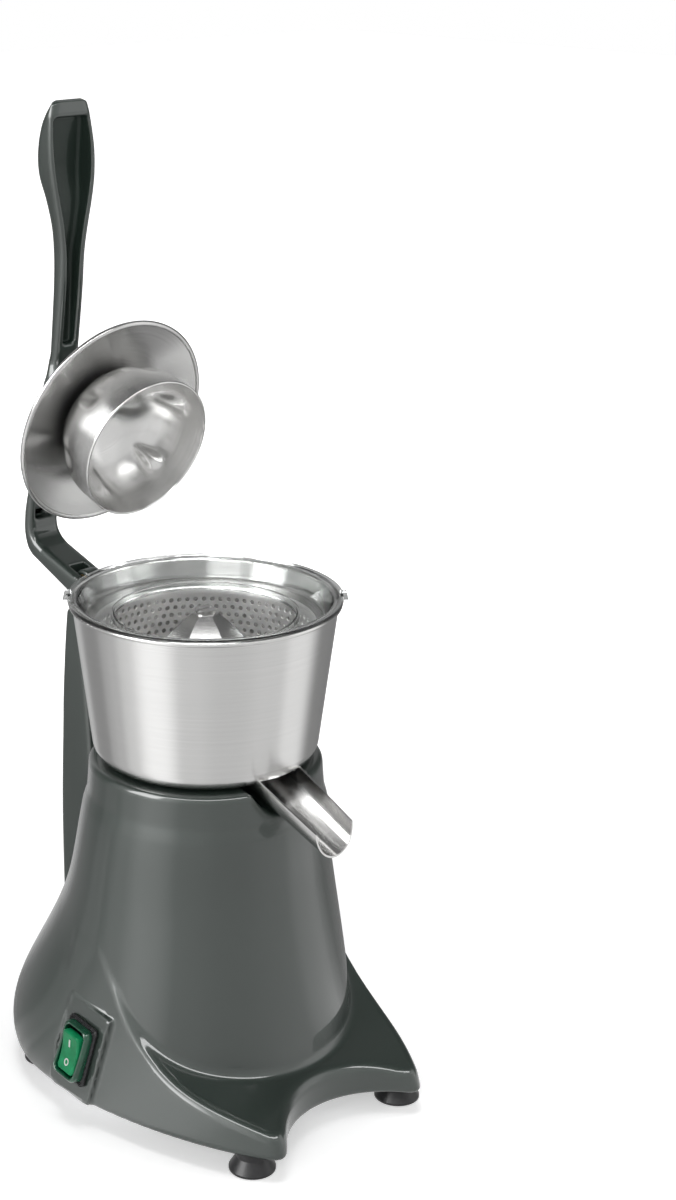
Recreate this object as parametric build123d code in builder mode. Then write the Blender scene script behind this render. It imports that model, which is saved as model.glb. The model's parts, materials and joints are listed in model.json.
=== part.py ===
from build123d import *
import math
import os

os.makedirs("parts", exist_ok=True)

# Lengths are millimetres. The drive axis is the Z axis, the floor is z = 0, the spout points to -Y.

# Clearances and stock thicknesses
run_gap = 0.05
slip_gap = 0.3
steel = 1.0

# Base casting
base_bottom = 12.0
body_height = 191.0
base_top = base_bottom + body_height
top_radius = 68.0
wall = 5.5
top_edge = 3.5
body_bulge = [(87.8, 0), (87.5, 24), (86.5, 41), (83.7, 64), (80.9, 84), (76.8, 110), (72.1, 146)]
body_profile = [(r, base_bottom + h * body_height / 191) for r, h in body_bulge] + [(top_radius, base_top)]
skirt_rings = [(0, 27, 98), (24, 27, 99), (47, 26, 91.5), (65, 22, 84.7), (95, 14, 77.4), (130, 6, 73), (166, 0, 69)]
rear_skirt = [(base_bottom + h * body_height / 191, y, r) for h, y, r in skirt_rings]
rear_wall = 7.5
top_wall = 6.0
flank_low = [(99, 27), (99.8, 0), (95, -34), (88, -61), (80, -86), (69, -108), (57, -128)]
flank_rise = 80.0
flank_inset = 20.0
scoop_rise = [(2, 89), (-23, 61), (-54, 35), (-82, 24), (-118, 15), (-150, 9)]
scoop_curve = [(y, base_bottom + h) for y, h in scoop_rise]
arch_radius = 59.5
arch_center_y = -159.0

# Collar, seal and drive shaft, stacked on the base top
collar_radius = 33.1
collar_neck = 29.5
collar_lift = 4.5
collar_disc = 4.2
collar_under = base_top + collar_lift
collar_top = collar_under + collar_disc
gasket_radius = 35.0
seal_radius = 20.2
seal_flange = 4.6
seal_top = collar_top + seal_flange
bell_radius = 20.7
bell_gap = 0.7
bell_height = 16.0
bell_bottom = seal_top + bell_gap
bell_top = bell_bottom + bell_height
ring_radius = 7.5
ring_height = 3.3
ring_top = bell_top + ring_height
shaft_radius = 5.4
shaft_stub = 23.3
shaft_top = ring_top + shaft_stub
shaft_flat = 3.9
journal_radius = 7.5
rotor_seat = 9.0

# Bowl, spout, sieve, cone and lid
bowl_foot_radius = 66.0
bowl_rim_radius = 78.2
bowl_height = 94.2
bowl_rim_top = base_top + bowl_height
bead = 1.4
tube_radius = gasket_radius + 0.5
tube_height = 28.4
tube_top = base_top + tube_height
bowl_bend = 11.0
notch_radius = 23.0
notch_drop = 18.0
spout_slope = 22.0
spout_radius = 17.0
spout_tip_radius = 13.5
spout_end_y = -118.0
spout_lift = 2.0
spout_rise = 1.0
sieve_radius = 63.6
sieve_wall = 0.8
sieve_floor = tube_top
sieve_height = 51.0
hole_columns = 40
hole_rows = 9
hole_radius = 1.5
hole_pitch = 4.6
sieve_hole = 33.0
cone_radius = 38.0
cone_seat = 1.1
cone_height = 53.6
cone_bottom = ring_top + cone_seat
cone_tip = cone_bottom + cone_height
cone_turn = 18.6
cone_ridge = [(0, 1), (0.15, 0.96), (0.348, 0.868), (0.545, 0.737), (0.743, 0.553), (0.92, 0.329), (1, 0.2)]
lid_radius = 78.7
lid_hole = 52.0
lid_drop = 12.4
lid_floor = bowl_rim_top - lid_drop
lid_wall = 1.8

# Column, hinge and lever
column_half = 10.5
tongue_half = 5.25
hinge_y = 106.3
hinge_rise = 77.9
hinge_z = base_top + hinge_rise
pin_radius = 4.0
bush_radius = 5.5
eye_radius = 8.5
fork_half = 11.5
fork_gap = 0.35
fork_reach = 12.5
pad_y = 90.0
column_lift = 19.0
column_foot = base_bottom + column_lift
shoulder_drop = 12.4
column_top = hinge_z - shoulder_drop
column_back = [(hinge_y + 19.2, column_foot), (hinge_y + 20.3, hinge_z - 215.9), (hinge_y + 20.5, hinge_z - 148.9),
               (hinge_y + 18, hinge_z - 92.9), (hinge_y + 17, hinge_z - 71.9), (hinge_y + 14.2, hinge_z - 39.9),
               (hinge_y + 11.7, hinge_z - 18.9)]
column_front = [(hinge_y - 4.5, column_top), (hinge_y - 4.8, hinge_z - 35.9), (hinge_y - 9.6, hinge_z - 83.9),
                (hinge_y - 14.8, hinge_z - 160.9), (pad_y, hinge_z - 183.9), (pad_y, column_foot)]
rib_front = [(hinge_y - 8.5, hinge_z), (hinge_y - 8.8, hinge_z - 22.9), (hinge_y - 13.8, hinge_z - 83.9),
             (hinge_y - 19, hinge_z - 153.9)]
press_back = 25.1
press_rise = 103.5
press_y = hinge_y - press_back
press_z = hinge_z + press_rise
press_tilt = 17.5
flange_radius = 65.0
flange_depth = 18.0
flange_bead = 1.6
flange_flat = 15.0
cup_radius = 43.2
cup_ahead = 32.0
press_wall = 1.2
boss_radius = 13.0
boss_reach = 52.0
bump_count = 6
bump_radius = 3.6
bump_length = 11.0
press_bolt_radius = 3.0


def from_hinge(points):
    return [(hinge_y + y, hinge_z + z) for y, z in points]


arm_shin = from_hinge([(-9.1, -3.9), (-7.6, 2.7), (33.2, 15.7)])
arm_knee = from_hinge([(33.2, 15.7), (40.2, 19.9), (43.5, 27.1), (41.9, 44.1)])
arm_grip_front = from_hinge([(16, 139.1), (9.3, 184.1), (6.3, 229.1), (6.9, 259.1), (8.9, 285.1)])
arm_grip_back = from_hinge([(12.7, 286.1), (19.4, 274.1), (22.4, 259.1), (22.7, 244.1), (19.4, 229.1),
                            (18.5, 214.1), (19.7, 199.1), (20.3, 184.1), (21.5, 169.1), (24.7, 139.1)])
arm_heel = from_hinge([(50.7, 36.1), (51.5, 23.1), (48.7, 13.1), (43.7, 8.1)])
arm_width = [(-30.9, fork_half), (49.1, fork_half), (89.1, 10), (139.1, 9), (199.1, 8.7), (214.1, 10.9),
             (229.1, 13.9), (244.1, 16.3), (259.1, 16.8), (274.1, 15.2), (282.1, 14.1), (289.1, 11.5)]
grip_width = [(144.1, 3.8), (184.1, 4), (199.1, 4.5), (214.1, 6.5), (229.1, 9.8), (244.1, 12.6), (259.1, 13.3),
              (271.1, 12.6), (276.1, 11.5)]
grip_wall = 3.0
panel_span = (31.1, 91.1)
panel_half = 6.5
panel_deep = 5.0

# Feet and fasteners
foot_radius = 13.35
foot_neck = 8.6
foot_places = [(58.1, -105.7), (-58.1, -105.7), (70.0, 68.0), (-70.0, 68.0)]
plate_thickness = 2.4

# Switch on the left flank
switch_center = (-95.6, 2.9, base_bottom + 29.4)
switch_tilt = 13.5
switch_lean = 6.5

# Motor
bracket_drop = 25.0
bracket_top = base_top - bracket_drop
stator_drop = 40.0
stator_height = 50.0
stator_top = bracket_top - stator_drop
stator_bottom = stator_top - stator_height
stator_radius = 52.0
air_gap = 0.5
rotor_radius = 27.0
slot_count = 12
bearing_radius = 16.0
bearing_width = 9.0
bearing_drop = 10.0
bearing_reach = 26.0
high_bearing = bracket_top - bearing_drop
low_bearing = stator_bottom - bearing_reach

# Pieces inside the base
plate_inset = 3.0
foot_recess = 8.0
foot_seat = 4.0
seal_body = 14.0
fan_drop = 18.0
fan_height = 12.0
fan_low = low_bearing - fan_drop
fan_high = fan_low + fan_height
fan_seat = 6.0
fan_radius = 42.0
winding_head = 14.5
capacitor_radius = 13.0
cable_radius = 4.0
gland_flange = 6.0
bolt_grip = 14.0

# Switch pieces
bezel_width = 25.0
bezel_tall = 37.0
bezel_rise = 2.0
rocker_width = 14.6
rocker_tall = 22.0
rocker_throw = 12.0
boot_width = 22.0
boot_tall = 33.0
boot_rise = 7.0

# Places that several pieces share
spigot_radius = 25.0
bolt_seat = 83.0
column_bolt_z = [column_foot + 19, column_foot + 51]
column_bolt = 3.0
foot_screw = 2.5
plate_screw = 1.75
motor_bolt = 2.0
gland_x = 52.0
gland_lift = 24.0
gland_z = base_bottom + gland_lift
gland_face = 99.5
gland_radius = 8.0
channel_fall = math.radians(spout_slope)
channel_way = (0, -math.cos(channel_fall), -math.sin(channel_fall))
channel_low = base_top - notch_drop
channel_start = (0, -top_radius - 2 + 36 * math.cos(channel_fall) - notch_radius * math.sin(channel_fall),
                 channel_low + 36 * math.sin(channel_fall) + notch_radius * math.cos(channel_fall))
channel_wall = 4.0
channel_end = (0, channel_start[1] - 6 * channel_way[1], channel_start[2] - 6 * channel_way[2])


def along(table, value):
    for (a, low), (b, high) in zip(table, table[1:]):
        if a <= value <= b:
            return low + (high - low) * (value - a) / (b - a)
    return table[0][1] if value < table[0][0] else table[-1][1]


def body_radius(z):
    return along([(height, radius) for radius, height in body_profile], z)


def circle_loft(levels):
    with BuildPart() as shape:
        for z, y, r in levels:
            with BuildSketch(Plane.XY.offset(z)):
                with Locations((0, y)):
                    Circle(r)
        loft()
    return shape.part


def flank_loft():
    high = [(x - flank_inset, y + flank_inset * max(0.0, -y - 40) / 88) for x, y in flank_low]
    with BuildPart() as shape:
        for z, edge in ((base_bottom, flank_low), (base_bottom + flank_rise, high)):
            left = [(-x, y) for x, y in edge]
            with BuildSketch(Plane.XY.offset(z)):
                with BuildLine():
                    Spline(*edge)
                    Line(edge[-1], left[-1])
                    Spline(*left[::-1])
                    Line(left[0], edge[0])
                make_face()
        loft(ruled=True)
    return shape.part


def disc(radius, low, high, x=0.0, y=0.0, bore=0.0):
    with BuildPart() as shape:
        with BuildSketch(Plane.XY.offset(low)):
            with Locations((x, y)):
                Circle(radius)
                if bore > 0:
                    Circle(bore, mode=Mode.SUBTRACT)
        extrude(amount=high - low)
    return shape.part


def block(x0, x1, y0, y1, z0, z1):
    with BuildPart() as shape:
        with BuildSketch(Plane.XY.offset(z0)):
            with Locations(((x0 + x1) / 2, (y0 + y1) / 2)):
                Rectangle(x1 - x0, y1 - y0)
        extrude(amount=z1 - z0)
    return shape.part


def turned(points):
    with BuildPart() as shape:
        with BuildSketch(Plane.XZ):
            with BuildLine():
                Polyline(*points, close=True)
            make_face()
        revolve(axis=Axis.Z)
    return shape.part


def rod(start, direction, radius, length):
    plane = Plane(origin=start, z_dir=direction)
    with BuildPart() as shape:
        with BuildSketch(plane):
            Circle(radius)
        extrude(amount=length)
    return shape.part


def sheet(points, bends, thickness, side, plane=Plane.XZ, axis=Axis.Z):
    with BuildPart() as shape:
        with BuildSketch(plane):
            with BuildLine():
                FilletPolyline(*points, radius=bends)
                offset(amount=thickness, side=side)
            make_face()
        revolve(axis=axis)
    return shape.part


def ring(center_radius, center_height, radius, plane=Plane.XZ, axis=Axis.Z):
    with BuildPart() as shape:
        with BuildSketch(plane):
            with Locations((center_radius, center_height)):
                Circle(radius)
        revolve(axis=axis)
    return shape.part


def side_slab(points, half):
    with BuildPart() as shape:
        with BuildSketch(Plane.YZ):
            with BuildLine():
                Polyline(*points, close=True)
            make_face()
        extrude(amount=half, both=True)
    return shape.part


def circles(shape, radius):
    return shape.edges().filter_by(GeomType.CIRCLE).filter_by(lambda e: e.radius > radius)


def screw(x, y, seat, tip, radius, head_radius, head):
    with BuildPart() as shape:
        add(disc(radius, min(seat, tip), max(seat, tip), x, y))
        if tip > seat:
            add(disc(head_radius, seat - head, seat, x, y))
            with BuildSketch(Plane.XY.offset(seat - head)):
                with Locations((x, y)):
                    RegularPolygon(head_radius * 0.5, 6)
            extrude(amount=head * 0.6, mode=Mode.SUBTRACT)
        else:
            add(disc(head_radius, seat, seat + head, x, y))
            with BuildSketch(Plane.XY.offset(seat + head)):
                with Locations((x, y)):
                    RegularPolygon(head_radius * 0.5, 6)
            extrude(amount=-head * 0.6, mode=Mode.SUBTRACT)
    return shape.part


# Base housing: straight-sided motor body, flared skirt with two front legs, scooped front, arch for the glass
with BuildPart() as motor_body:
    with BuildSketch(Plane.XZ):
        with BuildLine():
            side = Spline(*body_profile)
            Polyline(body_profile[-1], (0, base_top), (0, base_bottom), body_profile[0])
        make_face()
    revolve(axis=Axis.Z)
    fillet(motor_body.edges().filter_by(GeomType.CIRCLE).group_by(Axis.Z)[-1], top_edge)


with BuildPart() as scoop:
    with BuildSketch(Plane.YZ):
        with BuildLine():
            Spline(*scoop_curve)
            Polyline(scoop_curve[-1], (-230, scoop_curve[-1][1]), (-230, 230), (2, 230), scoop_curve[0])
        make_face()
    extrude(amount=220, both=True)


with BuildPart() as legs:
    add(circle_loft(rear_skirt))
    add(flank_loft())
    add(scoop.part, mode=Mode.SUBTRACT)
    add(disc(arch_radius, base_bottom - 1, 90, 0, arch_center_y), mode=Mode.SUBTRACT)

# Switch pad plane: local x points to the front, local y up the flank
tilt = math.radians(switch_tilt)
lean = math.radians(switch_lean)
up_flank = (math.sin(tilt), 0.0, math.cos(tilt))
pad_x = (-math.sin(lean) * up_flank[0], -math.cos(lean), -math.sin(lean) * up_flank[2])
pad_normal = (-math.cos(tilt), 0.0, math.sin(tilt))
pad_plane = Plane(origin=switch_center, x_dir=pad_x, z_dir=pad_normal)
pad_width = 36.0
pad_height = 56.0
switch_width = 20.0
switch_tall = 28.0


def on_pad(width, tall, low, high, corner=0.0, up=0.0):
    with BuildPart() as shape:
        with BuildSketch(pad_plane.offset(low)):
            with Locations((0, up)):
                if corner > 0:
                    RectangleRounded(width, tall, corner)
                else:
                    Rectangle(width, tall)
        extrude(amount=high - low)
    return shape.part


cavity_low = base_bottom - 2
inner_profile = [(r - wall, z) for r, z in body_profile]


plate_bosses = [(89.5, 30), (72, -38), (-72, -38), (-89.5, 30)]
motor_bolts = [(46.0 * math.cos(math.radians(a)), 46.0 * math.sin(math.radians(a))) for a in (30, 120, 210, 300)]


with BuildPart() as main_hollow:
    with BuildSketch(Plane.XZ):
        with BuildLine():
            Spline(*inner_profile)
            Polyline(inner_profile[-1], (0, base_top), (0, cavity_low), (inner_profile[0][0], cavity_low),
                     inner_profile[0])
        make_face()
    revolve(axis=Axis.Z)
    add(disc(top_radius, base_top - top_wall, base_top + 1), mode=Mode.SUBTRACT)
    # A lining stays below the spout channel
    add(rod(channel_end, channel_way, notch_radius + channel_wall, 110), mode=Mode.SUBTRACT)

with BuildPart() as skirt_hollow:
    add(circle_loft([(cavity_low, rear_skirt[0][1], rear_skirt[0][2] - rear_wall)]
                    + [(z, y, r - rear_wall) for z, y, r in rear_skirt[1:4]]))
    add(block(-17, 17, bolt_seat, 160, 0, 120), mode=Mode.SUBTRACT)

with BuildPart() as base_housing:
    add(motor_body.part)
    add(legs.part)
    add(on_pad(pad_width, pad_height, -16, 0, 2.0))
    # Hollow inside, open below
    add(main_hollow.part, mode=Mode.SUBTRACT)
    add(skirt_hollow.part, mode=Mode.SUBTRACT)
    # Bosses for the feet, the plate and the motor
    for x, y in foot_places[2:]:
        add(disc(14, base_bottom, 38, x, y))
    for x, y in plate_bosses:
        add(disc(5, base_bottom, 36, x, y))
    for x, y in motor_bolts:
        add(disc(6.5, bracket_top, base_top - 5, x, y))
    for x, y in foot_places:
        add(disc(foot_screw + 0.1, base_bottom - 1, 23, x, y), mode=Mode.SUBTRACT)
    for x, y in plate_bosses:
        add(disc(plate_screw + 0.1, base_bottom - 1, 28, x, y), mode=Mode.SUBTRACT)
    for x, y in motor_bolts:
        add(disc(motor_bolt + 0.1, bracket_top - 1, base_top - 10, x, y), mode=Mode.SUBTRACT)
    # Seat of the collar, channel for the spout, slot for the column
    add(disc(spigot_radius + 0.05, base_top - 10, base_top + 1), mode=Mode.SUBTRACT)
    add(rod(channel_start, channel_way, notch_radius, 90), mode=Mode.SUBTRACT)
    add(block(-column_half - 0.2, column_half + 0.2, pad_y, pad_y + 80, column_foot, column_foot + 129),
        mode=Mode.SUBTRACT)
    for z in column_bolt_z:
        add(rod((0, bolt_seat - 23, z), (0, 1, 0), column_bolt + 3.2, 23), mode=Mode.SUBTRACT)
        add(rod((0, bolt_seat - 23, z), (0, 1, 0), column_bolt + 0.1, 40), mode=Mode.SUBTRACT)
    # Openings for the switch and the cable gland
    add(on_pad(switch_width, switch_tall, -45, 1), mode=Mode.SUBTRACT)
    add(rod((gland_x, gland_face, gland_z), (0, 1, 0), 14, 60), mode=Mode.SUBTRACT)
    add(rod((gland_x, 70, gland_z), (0, 1, 0), gland_radius, 60), mode=Mode.SUBTRACT)
    # Flat front of the switch pad, flat underside
    add(on_pad(pad_width, pad_height, 0, 14), mode=Mode.SUBTRACT)
    add(block(-160, 160, -180, 180, 0, base_bottom), mode=Mode.SUBTRACT)
base_housing.part.label = "base_housing"
export_step(base_housing.part, "parts/base_housing.step")

# Base plate with vent slots, under the hollow
with BuildPart() as base_plate:
    with BuildSketch(Plane.XY.offset(base_bottom - plate_thickness)):
        Circle(body_profile[0][0] - plate_inset)
        with Locations((0, rear_skirt[0][1])):
            Circle(rear_skirt[0][2] - plate_inset)
        with Locations(*foot_places[2:]):
            Circle(foot_neck + 1.4, mode=Mode.SUBTRACT)
        with Locations(*plate_bosses):
            Circle(plate_screw + 0.15, mode=Mode.SUBTRACT)
        with PolarLocations(34, 10):
            SlotOverall(26, 5, mode=Mode.SUBTRACT)
    extrude(amount=plate_thickness)
base_plate.part.label = "base_plate"
export_step(base_plate.part, "parts/base_plate.step")

with BuildPart() as base_plate_screws:
    for x, y in plate_bosses:
        add(screw(x, y, base_bottom - plate_thickness, base_bottom + 14, plate_screw, 3.4, 2.2))
base_plate_screws.part.label = "base_plate_screws"
export_step(base_plate_screws.part, "parts/base_plate_screws.step")

# Rubber feet: cones with a recess for the screw head
with BuildPart() as feet:
    with BuildSketch(Plane.XZ):
        with BuildLine():
            Polyline((foot_screw + 0.2, base_bottom), (foot_neck, base_bottom), (foot_neck + 0.6, base_bottom - 4),
                     (foot_radius, 1.2), (foot_radius, 0), (foot_recess, 0), (foot_recess, foot_seat),
                     (foot_screw + 0.2, foot_seat), close=True)
        make_face()
    revolve(axis=Axis.Z)
one_foot = feet.part
with BuildPart() as feet:
    with Locations(*foot_places):
        add(one_foot)
feet.part.label = "feet"
export_step(feet.part, "parts/feet.step")

with BuildPart() as foot_screws:
    for x, y in foot_places:
        add(screw(x, y, foot_seat, base_bottom + 10, foot_screw, 5.0, 2.5))
foot_screws.part.label = "foot_screws"
export_step(foot_screws.part, "parts/foot_screws.step")

# Collar, gasket and seal on the base top
with BuildPart() as collar:
    add(turned([(seal_body + run_gap, base_top - 10), (spigot_radius, base_top - 10), (spigot_radius, base_top),
                (collar_neck, base_top), (collar_neck, collar_under), (collar_radius, collar_under),
                (collar_radius, collar_top), (seal_body + run_gap, collar_top)]))
    fillet(circles(collar, collar_neck + 1), 0.8)
collar.part.label = "collar"
export_step(collar.part, "parts/collar.step")

with BuildPart() as bowl_gasket:
    add(disc(gasket_radius, base_top, collar_under - 0.1, bore=collar_neck + 0.05))
    fillet(circles(bowl_gasket, gasket_radius - 0.5), 1.6)
bowl_gasket.part.label = "bowl_gasket"
export_step(bowl_gasket.part, "parts/bowl_gasket.step")

with BuildPart() as shaft_seal:
    add(turned([(shaft_radius + run_gap, base_top - 6), (seal_body, base_top - 6), (seal_body, collar_top),
                (seal_radius, collar_top), (seal_radius, seal_top - 1), (seal_radius - 1, seal_top),
                (shaft_radius + run_gap, seal_top)]))
shaft_seal.part.label = "shaft_seal"
export_step(shaft_seal.part, "parts/shaft_seal.step")

# Turning set: shaft, bell, ring, rotor and fan
shoulder_low = low_bearing + bearing_width + slip_gap
shoulder_high = high_bearing - slip_gap
with BuildPart() as drive_shaft:
    add(turned([(0, fan_low - 2), (fan_seat, fan_low - 2), (fan_seat, low_bearing - 2),
                (journal_radius, low_bearing - 2), (journal_radius, shoulder_low), (rotor_seat, shoulder_low),
                (rotor_seat, shoulder_high), (journal_radius, shoulder_high), (journal_radius, bracket_top),
                (shaft_radius, bracket_top), (shaft_radius, shaft_top - 0.8), (shaft_radius - 0.8, shaft_top),
                (0, shaft_top)]))
    add(block(-10, 10, -10, -shaft_flat, ring_top, shaft_top + 1), mode=Mode.SUBTRACT)
drive_shaft.part.label = "drive_shaft"
export_step(drive_shaft.part, "parts/drive_shaft.step")

with BuildPart() as slinger:
    with BuildSketch(Plane.XZ):
        with BuildLine():
            Spline((bell_radius, bell_bottom), (bell_radius - 0.4, bell_bottom + 0.31 * bell_height),
                   (bell_radius - 2.5, bell_bottom + 0.75 * bell_height), (bell_radius - 6.2, bell_top - 1),
                   (bell_radius - 10, bell_top))
            Polyline((bell_radius - 10, bell_top), (shaft_radius + run_gap, bell_top),
                     (shaft_radius + run_gap, bell_top - 4), (bell_radius - 10, bell_top - 1.6))
            Spline((bell_radius - 10, bell_top - 1.6), (bell_radius - 6.8, bell_top - 2.6),
                   (bell_radius - 3.9, bell_bottom + 0.72 * bell_height),
                   (bell_radius - 1.8, bell_bottom + 0.31 * bell_height), (bell_radius - 1.4, bell_bottom))
            Line((bell_radius - 1.4, bell_bottom), (bell_radius, bell_bottom))
        make_face()
    revolve(axis=Axis.Z)
slinger.part.label = "slinger"
export_step(slinger.part, "parts/slinger.step")

with BuildPart() as shaft_ring:
    add(disc(ring_radius, bell_top, ring_top, bore=shaft_radius + run_gap))
    chamfer(circles(shaft_ring, ring_radius - 0.1).group_by(Axis.Z)[-1], 0.6)
shaft_ring.part.label = "shaft_ring"
export_step(shaft_ring.part, "parts/shaft_ring.step")

with BuildPart() as rotor:
    add(disc(rotor_radius, stator_bottom, stator_top, bore=rotor_seat + run_gap))
    chamfer(circles(rotor, rotor_radius - 0.1), 1.0)
rotor.part.label = "rotor"
export_step(rotor.part, "parts/rotor.step")

fan_hub = fan_seat + 3
with BuildPart() as cooling_fan:
    add(disc(fan_hub, fan_low, fan_high, bore=fan_seat + run_gap))
    add(disc(fan_radius, fan_low, fan_low + 1.5, bore=fan_seat + run_gap))
    with BuildSketch(Plane.XY.offset(fan_low + 1)):
        with PolarLocations((fan_radius + fan_hub) / 2 - 1, 7):
            Rectangle(fan_radius - fan_hub, 1.6, rotation=18)
    extrude(amount=fan_high - fan_low - 1)
cooling_fan.part.label = "cooling_fan"
export_step(cooling_fan.part, "parts/cooling_fan.step")

# Motor frame: stator, windings, bearings and end brackets
bore_radius = rotor_radius + air_gap
with BuildPart() as stator:
    with BuildSketch(Plane.XY.offset(stator_bottom)):
        Circle(stator_radius)
        Circle(bore_radius, mode=Mode.SUBTRACT)
        with PolarLocations(bore_radius + 8.5, slot_count):
            Rectangle(10, 7, mode=Mode.SUBTRACT)
        with Locations(*motor_bolts):
            Circle(motor_bolt + 0.2, mode=Mode.SUBTRACT)
    extrude(amount=stator_top - stator_bottom)
stator.part.label = "stator"
export_step(stator.part, "parts/stator.step")

with BuildPart() as windings:
    for low in (stator_bottom - winding_head, stator_top + 0.5):
        add(disc(bore_radius + 13.3, low, low + winding_head - 0.5, bore=bore_radius + 2.5))
    fillet(circles(windings, bore_radius + 12.9), 2.0)
    with BuildSketch(Plane.XY.offset(stator_bottom - 1)):
        with PolarLocations(bore_radius + 8.5, slot_count):
            Rectangle(9.4, 6.4)
    extrude(amount=stator_top - stator_bottom + 2)
windings.part.label = "windings"
export_step(windings.part, "parts/windings.step")


def bearing(low):
    with BuildPart() as shape:
        add(disc(bearing_radius, low, low + bearing_width, bore=journal_radius + run_gap))
        for start in (low - 1, low + bearing_width - 0.7):
            add(disc(bearing_radius - 2.6, start, start + 1.7, bore=journal_radius + 2.6), mode=Mode.SUBTRACT)
    return shape.part


with BuildPart() as lower_bearing:
    add(bearing(low_bearing))
lower_bearing.part.label = "lower_bearing"
export_step(lower_bearing.part, "parts/lower_bearing.step")

with BuildPart() as upper_bearing:
    add(bearing(high_bearing))
upper_bearing.part.label = "upper_bearing"
export_step(upper_bearing.part, "parts/upper_bearing.step")

bracket_low = low_bearing + bearing_width
bracket_radius = stator_radius + 1
with BuildPart() as lower_bracket:
    add(disc(bracket_radius, bracket_low - 5, bracket_low))
    add(disc(bearing_radius + 4, low_bearing - 3, bracket_low))
    for x, y in motor_bolts:
        add(disc(motor_bolt + 2.6, bracket_low - 5, stator_bottom, x, y))
    add(disc(journal_radius + 1.5, low_bearing - 4, bracket_low + 1), mode=Mode.SUBTRACT)
    add(disc(bearing_radius + run_gap, low_bearing, bracket_low + 1), mode=Mode.SUBTRACT)
    with BuildSketch(Plane.XY.offset(bracket_low - 6)):
        with PolarLocations(33, 4, start_angle=75):
            SlotOverall(22, 12, rotation=90, mode=Mode.ADD)
    extrude(amount=7, mode=Mode.SUBTRACT)
    for x, y in motor_bolts:
        add(disc(motor_bolt + 0.2, bracket_low - 6, stator_bottom + 1, x, y), mode=Mode.SUBTRACT)
lower_bracket.part.label = "lower_bracket"
export_step(lower_bracket.part, "parts/lower_bracket.step")

upper_plate = stator_top + winding_head + 4
with BuildPart() as upper_bracket:
    add(disc(bracket_radius, upper_plate, upper_plate + 5))
    add(disc(bearing_radius + 4, upper_plate, high_bearing + bearing_width))
    for x, y in motor_bolts:
        add(disc(motor_bolt + 2.6, stator_top, bracket_top, x, y))
    add(disc(rotor_seat + 1.5, upper_plate - 1, bracket_top), mode=Mode.SUBTRACT)
    add(disc(bearing_radius + run_gap, high_bearing, bracket_top + 1), mode=Mode.SUBTRACT)
    for x, y in motor_bolts:
        add(disc(motor_bolt + 0.2, stator_top - 1, bracket_top + 1, x, y), mode=Mode.SUBTRACT)
upper_bracket.part.label = "upper_bracket"
export_step(upper_bracket.part, "parts/upper_bracket.step")

with BuildPart() as motor_bolt_set:
    for x, y in motor_bolts:
        add(screw(x, y, bracket_low - 5, bracket_top + 12, motor_bolt, 3.8, 4.0))
motor_bolt_set.part.label = "motor_bolts"
export_step(motor_bolt_set.part, "parts/motor_bolts.step")

# Electrics on the base plate and the cable entry
with BuildPart() as capacitor:
    add(disc(capacitor_radius, base_bottom, base_bottom + 42, -40, 75))
    add(disc(capacitor_radius - 4, base_bottom + 42, base_bottom + 44, -40, 75))
    for x in (-44, -36):
        add(block(x - 0.4, x + 0.4, 72, 78, base_bottom + 43, base_bottom + 51))
capacitor.part.label = "capacitor"
export_step(capacitor.part, "parts/capacitor.step")

with BuildPart() as terminal_block:
    add(block(25, 55, 75, 89, base_bottom, base_bottom + 12))
    for x in (30, 40, 50):
        add(disc(3, base_bottom + 5, base_bottom + 13, x, 82), mode=Mode.SUBTRACT)
        add(rod((x, 70, base_bottom + 3), (0, 1, 0), 1.8, 30), mode=Mode.SUBTRACT)
terminal_block.part.label = "terminal_block"
export_step(terminal_block.part, "parts/terminal_block.step")

with BuildPart() as cable_gland:
    add(rod((gland_x, gland_face - 14, gland_z), (0, 1, 0), gland_radius - 0.2, 14))
    with BuildSketch(Plane(origin=(gland_x, gland_face, gland_z), z_dir=(0, 1, 0))):
        RegularPolygon(gland_radius + 3, 6)
    extrude(amount=gland_flange)
    add(rod((gland_x, gland_face - 20, gland_z), (0, 1, 0), cable_radius, 60), mode=Mode.SUBTRACT)
cable_gland.part.label = "cable_gland"
export_step(cable_gland.part, "parts/cable_gland.step")

with BuildPart() as gland_nut:
    add(rod((gland_x, gland_face + gland_flange, gland_z), (0, 1, 0), gland_radius + 1.5, 12))
    fillet(gland_nut.edges().filter_by(GeomType.CIRCLE).sort_by(Axis.Y)[-1], 4)
    add(rod((gland_x, gland_face, gland_z), (0, 1, 0), cable_radius, 60), mode=Mode.SUBTRACT)
gland_nut.part.label = "gland_nut"
export_step(gland_nut.part, "parts/gland_nut.step")

# Switch: bezel, body, rocker and the soft boot over it
with BuildPart() as switch_bezel:
    add(on_pad(bezel_width, bezel_tall, 0, bezel_rise, 3.0))
    add(on_pad(switch_width - 2, switch_tall - 2, -1, bezel_rise + 1), mode=Mode.SUBTRACT)
switch_bezel.part.label = "switch_bezel"
export_step(switch_bezel.part, "parts/switch_bezel.step")

with BuildPart() as switch_body:
    add(on_pad(switch_width - 0.4, switch_tall - 0.4, -22, 0))
    add(on_pad(rocker_width + 0.8, rocker_tall + 2, -9, 1), mode=Mode.SUBTRACT)
    for up in (-8, 0, 8):
        add(on_pad(6.3, 0.8, -30, -21, up=up))
switch_body.part.label = "switch_body"
export_step(switch_body.part, "parts/switch_body.step")

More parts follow.
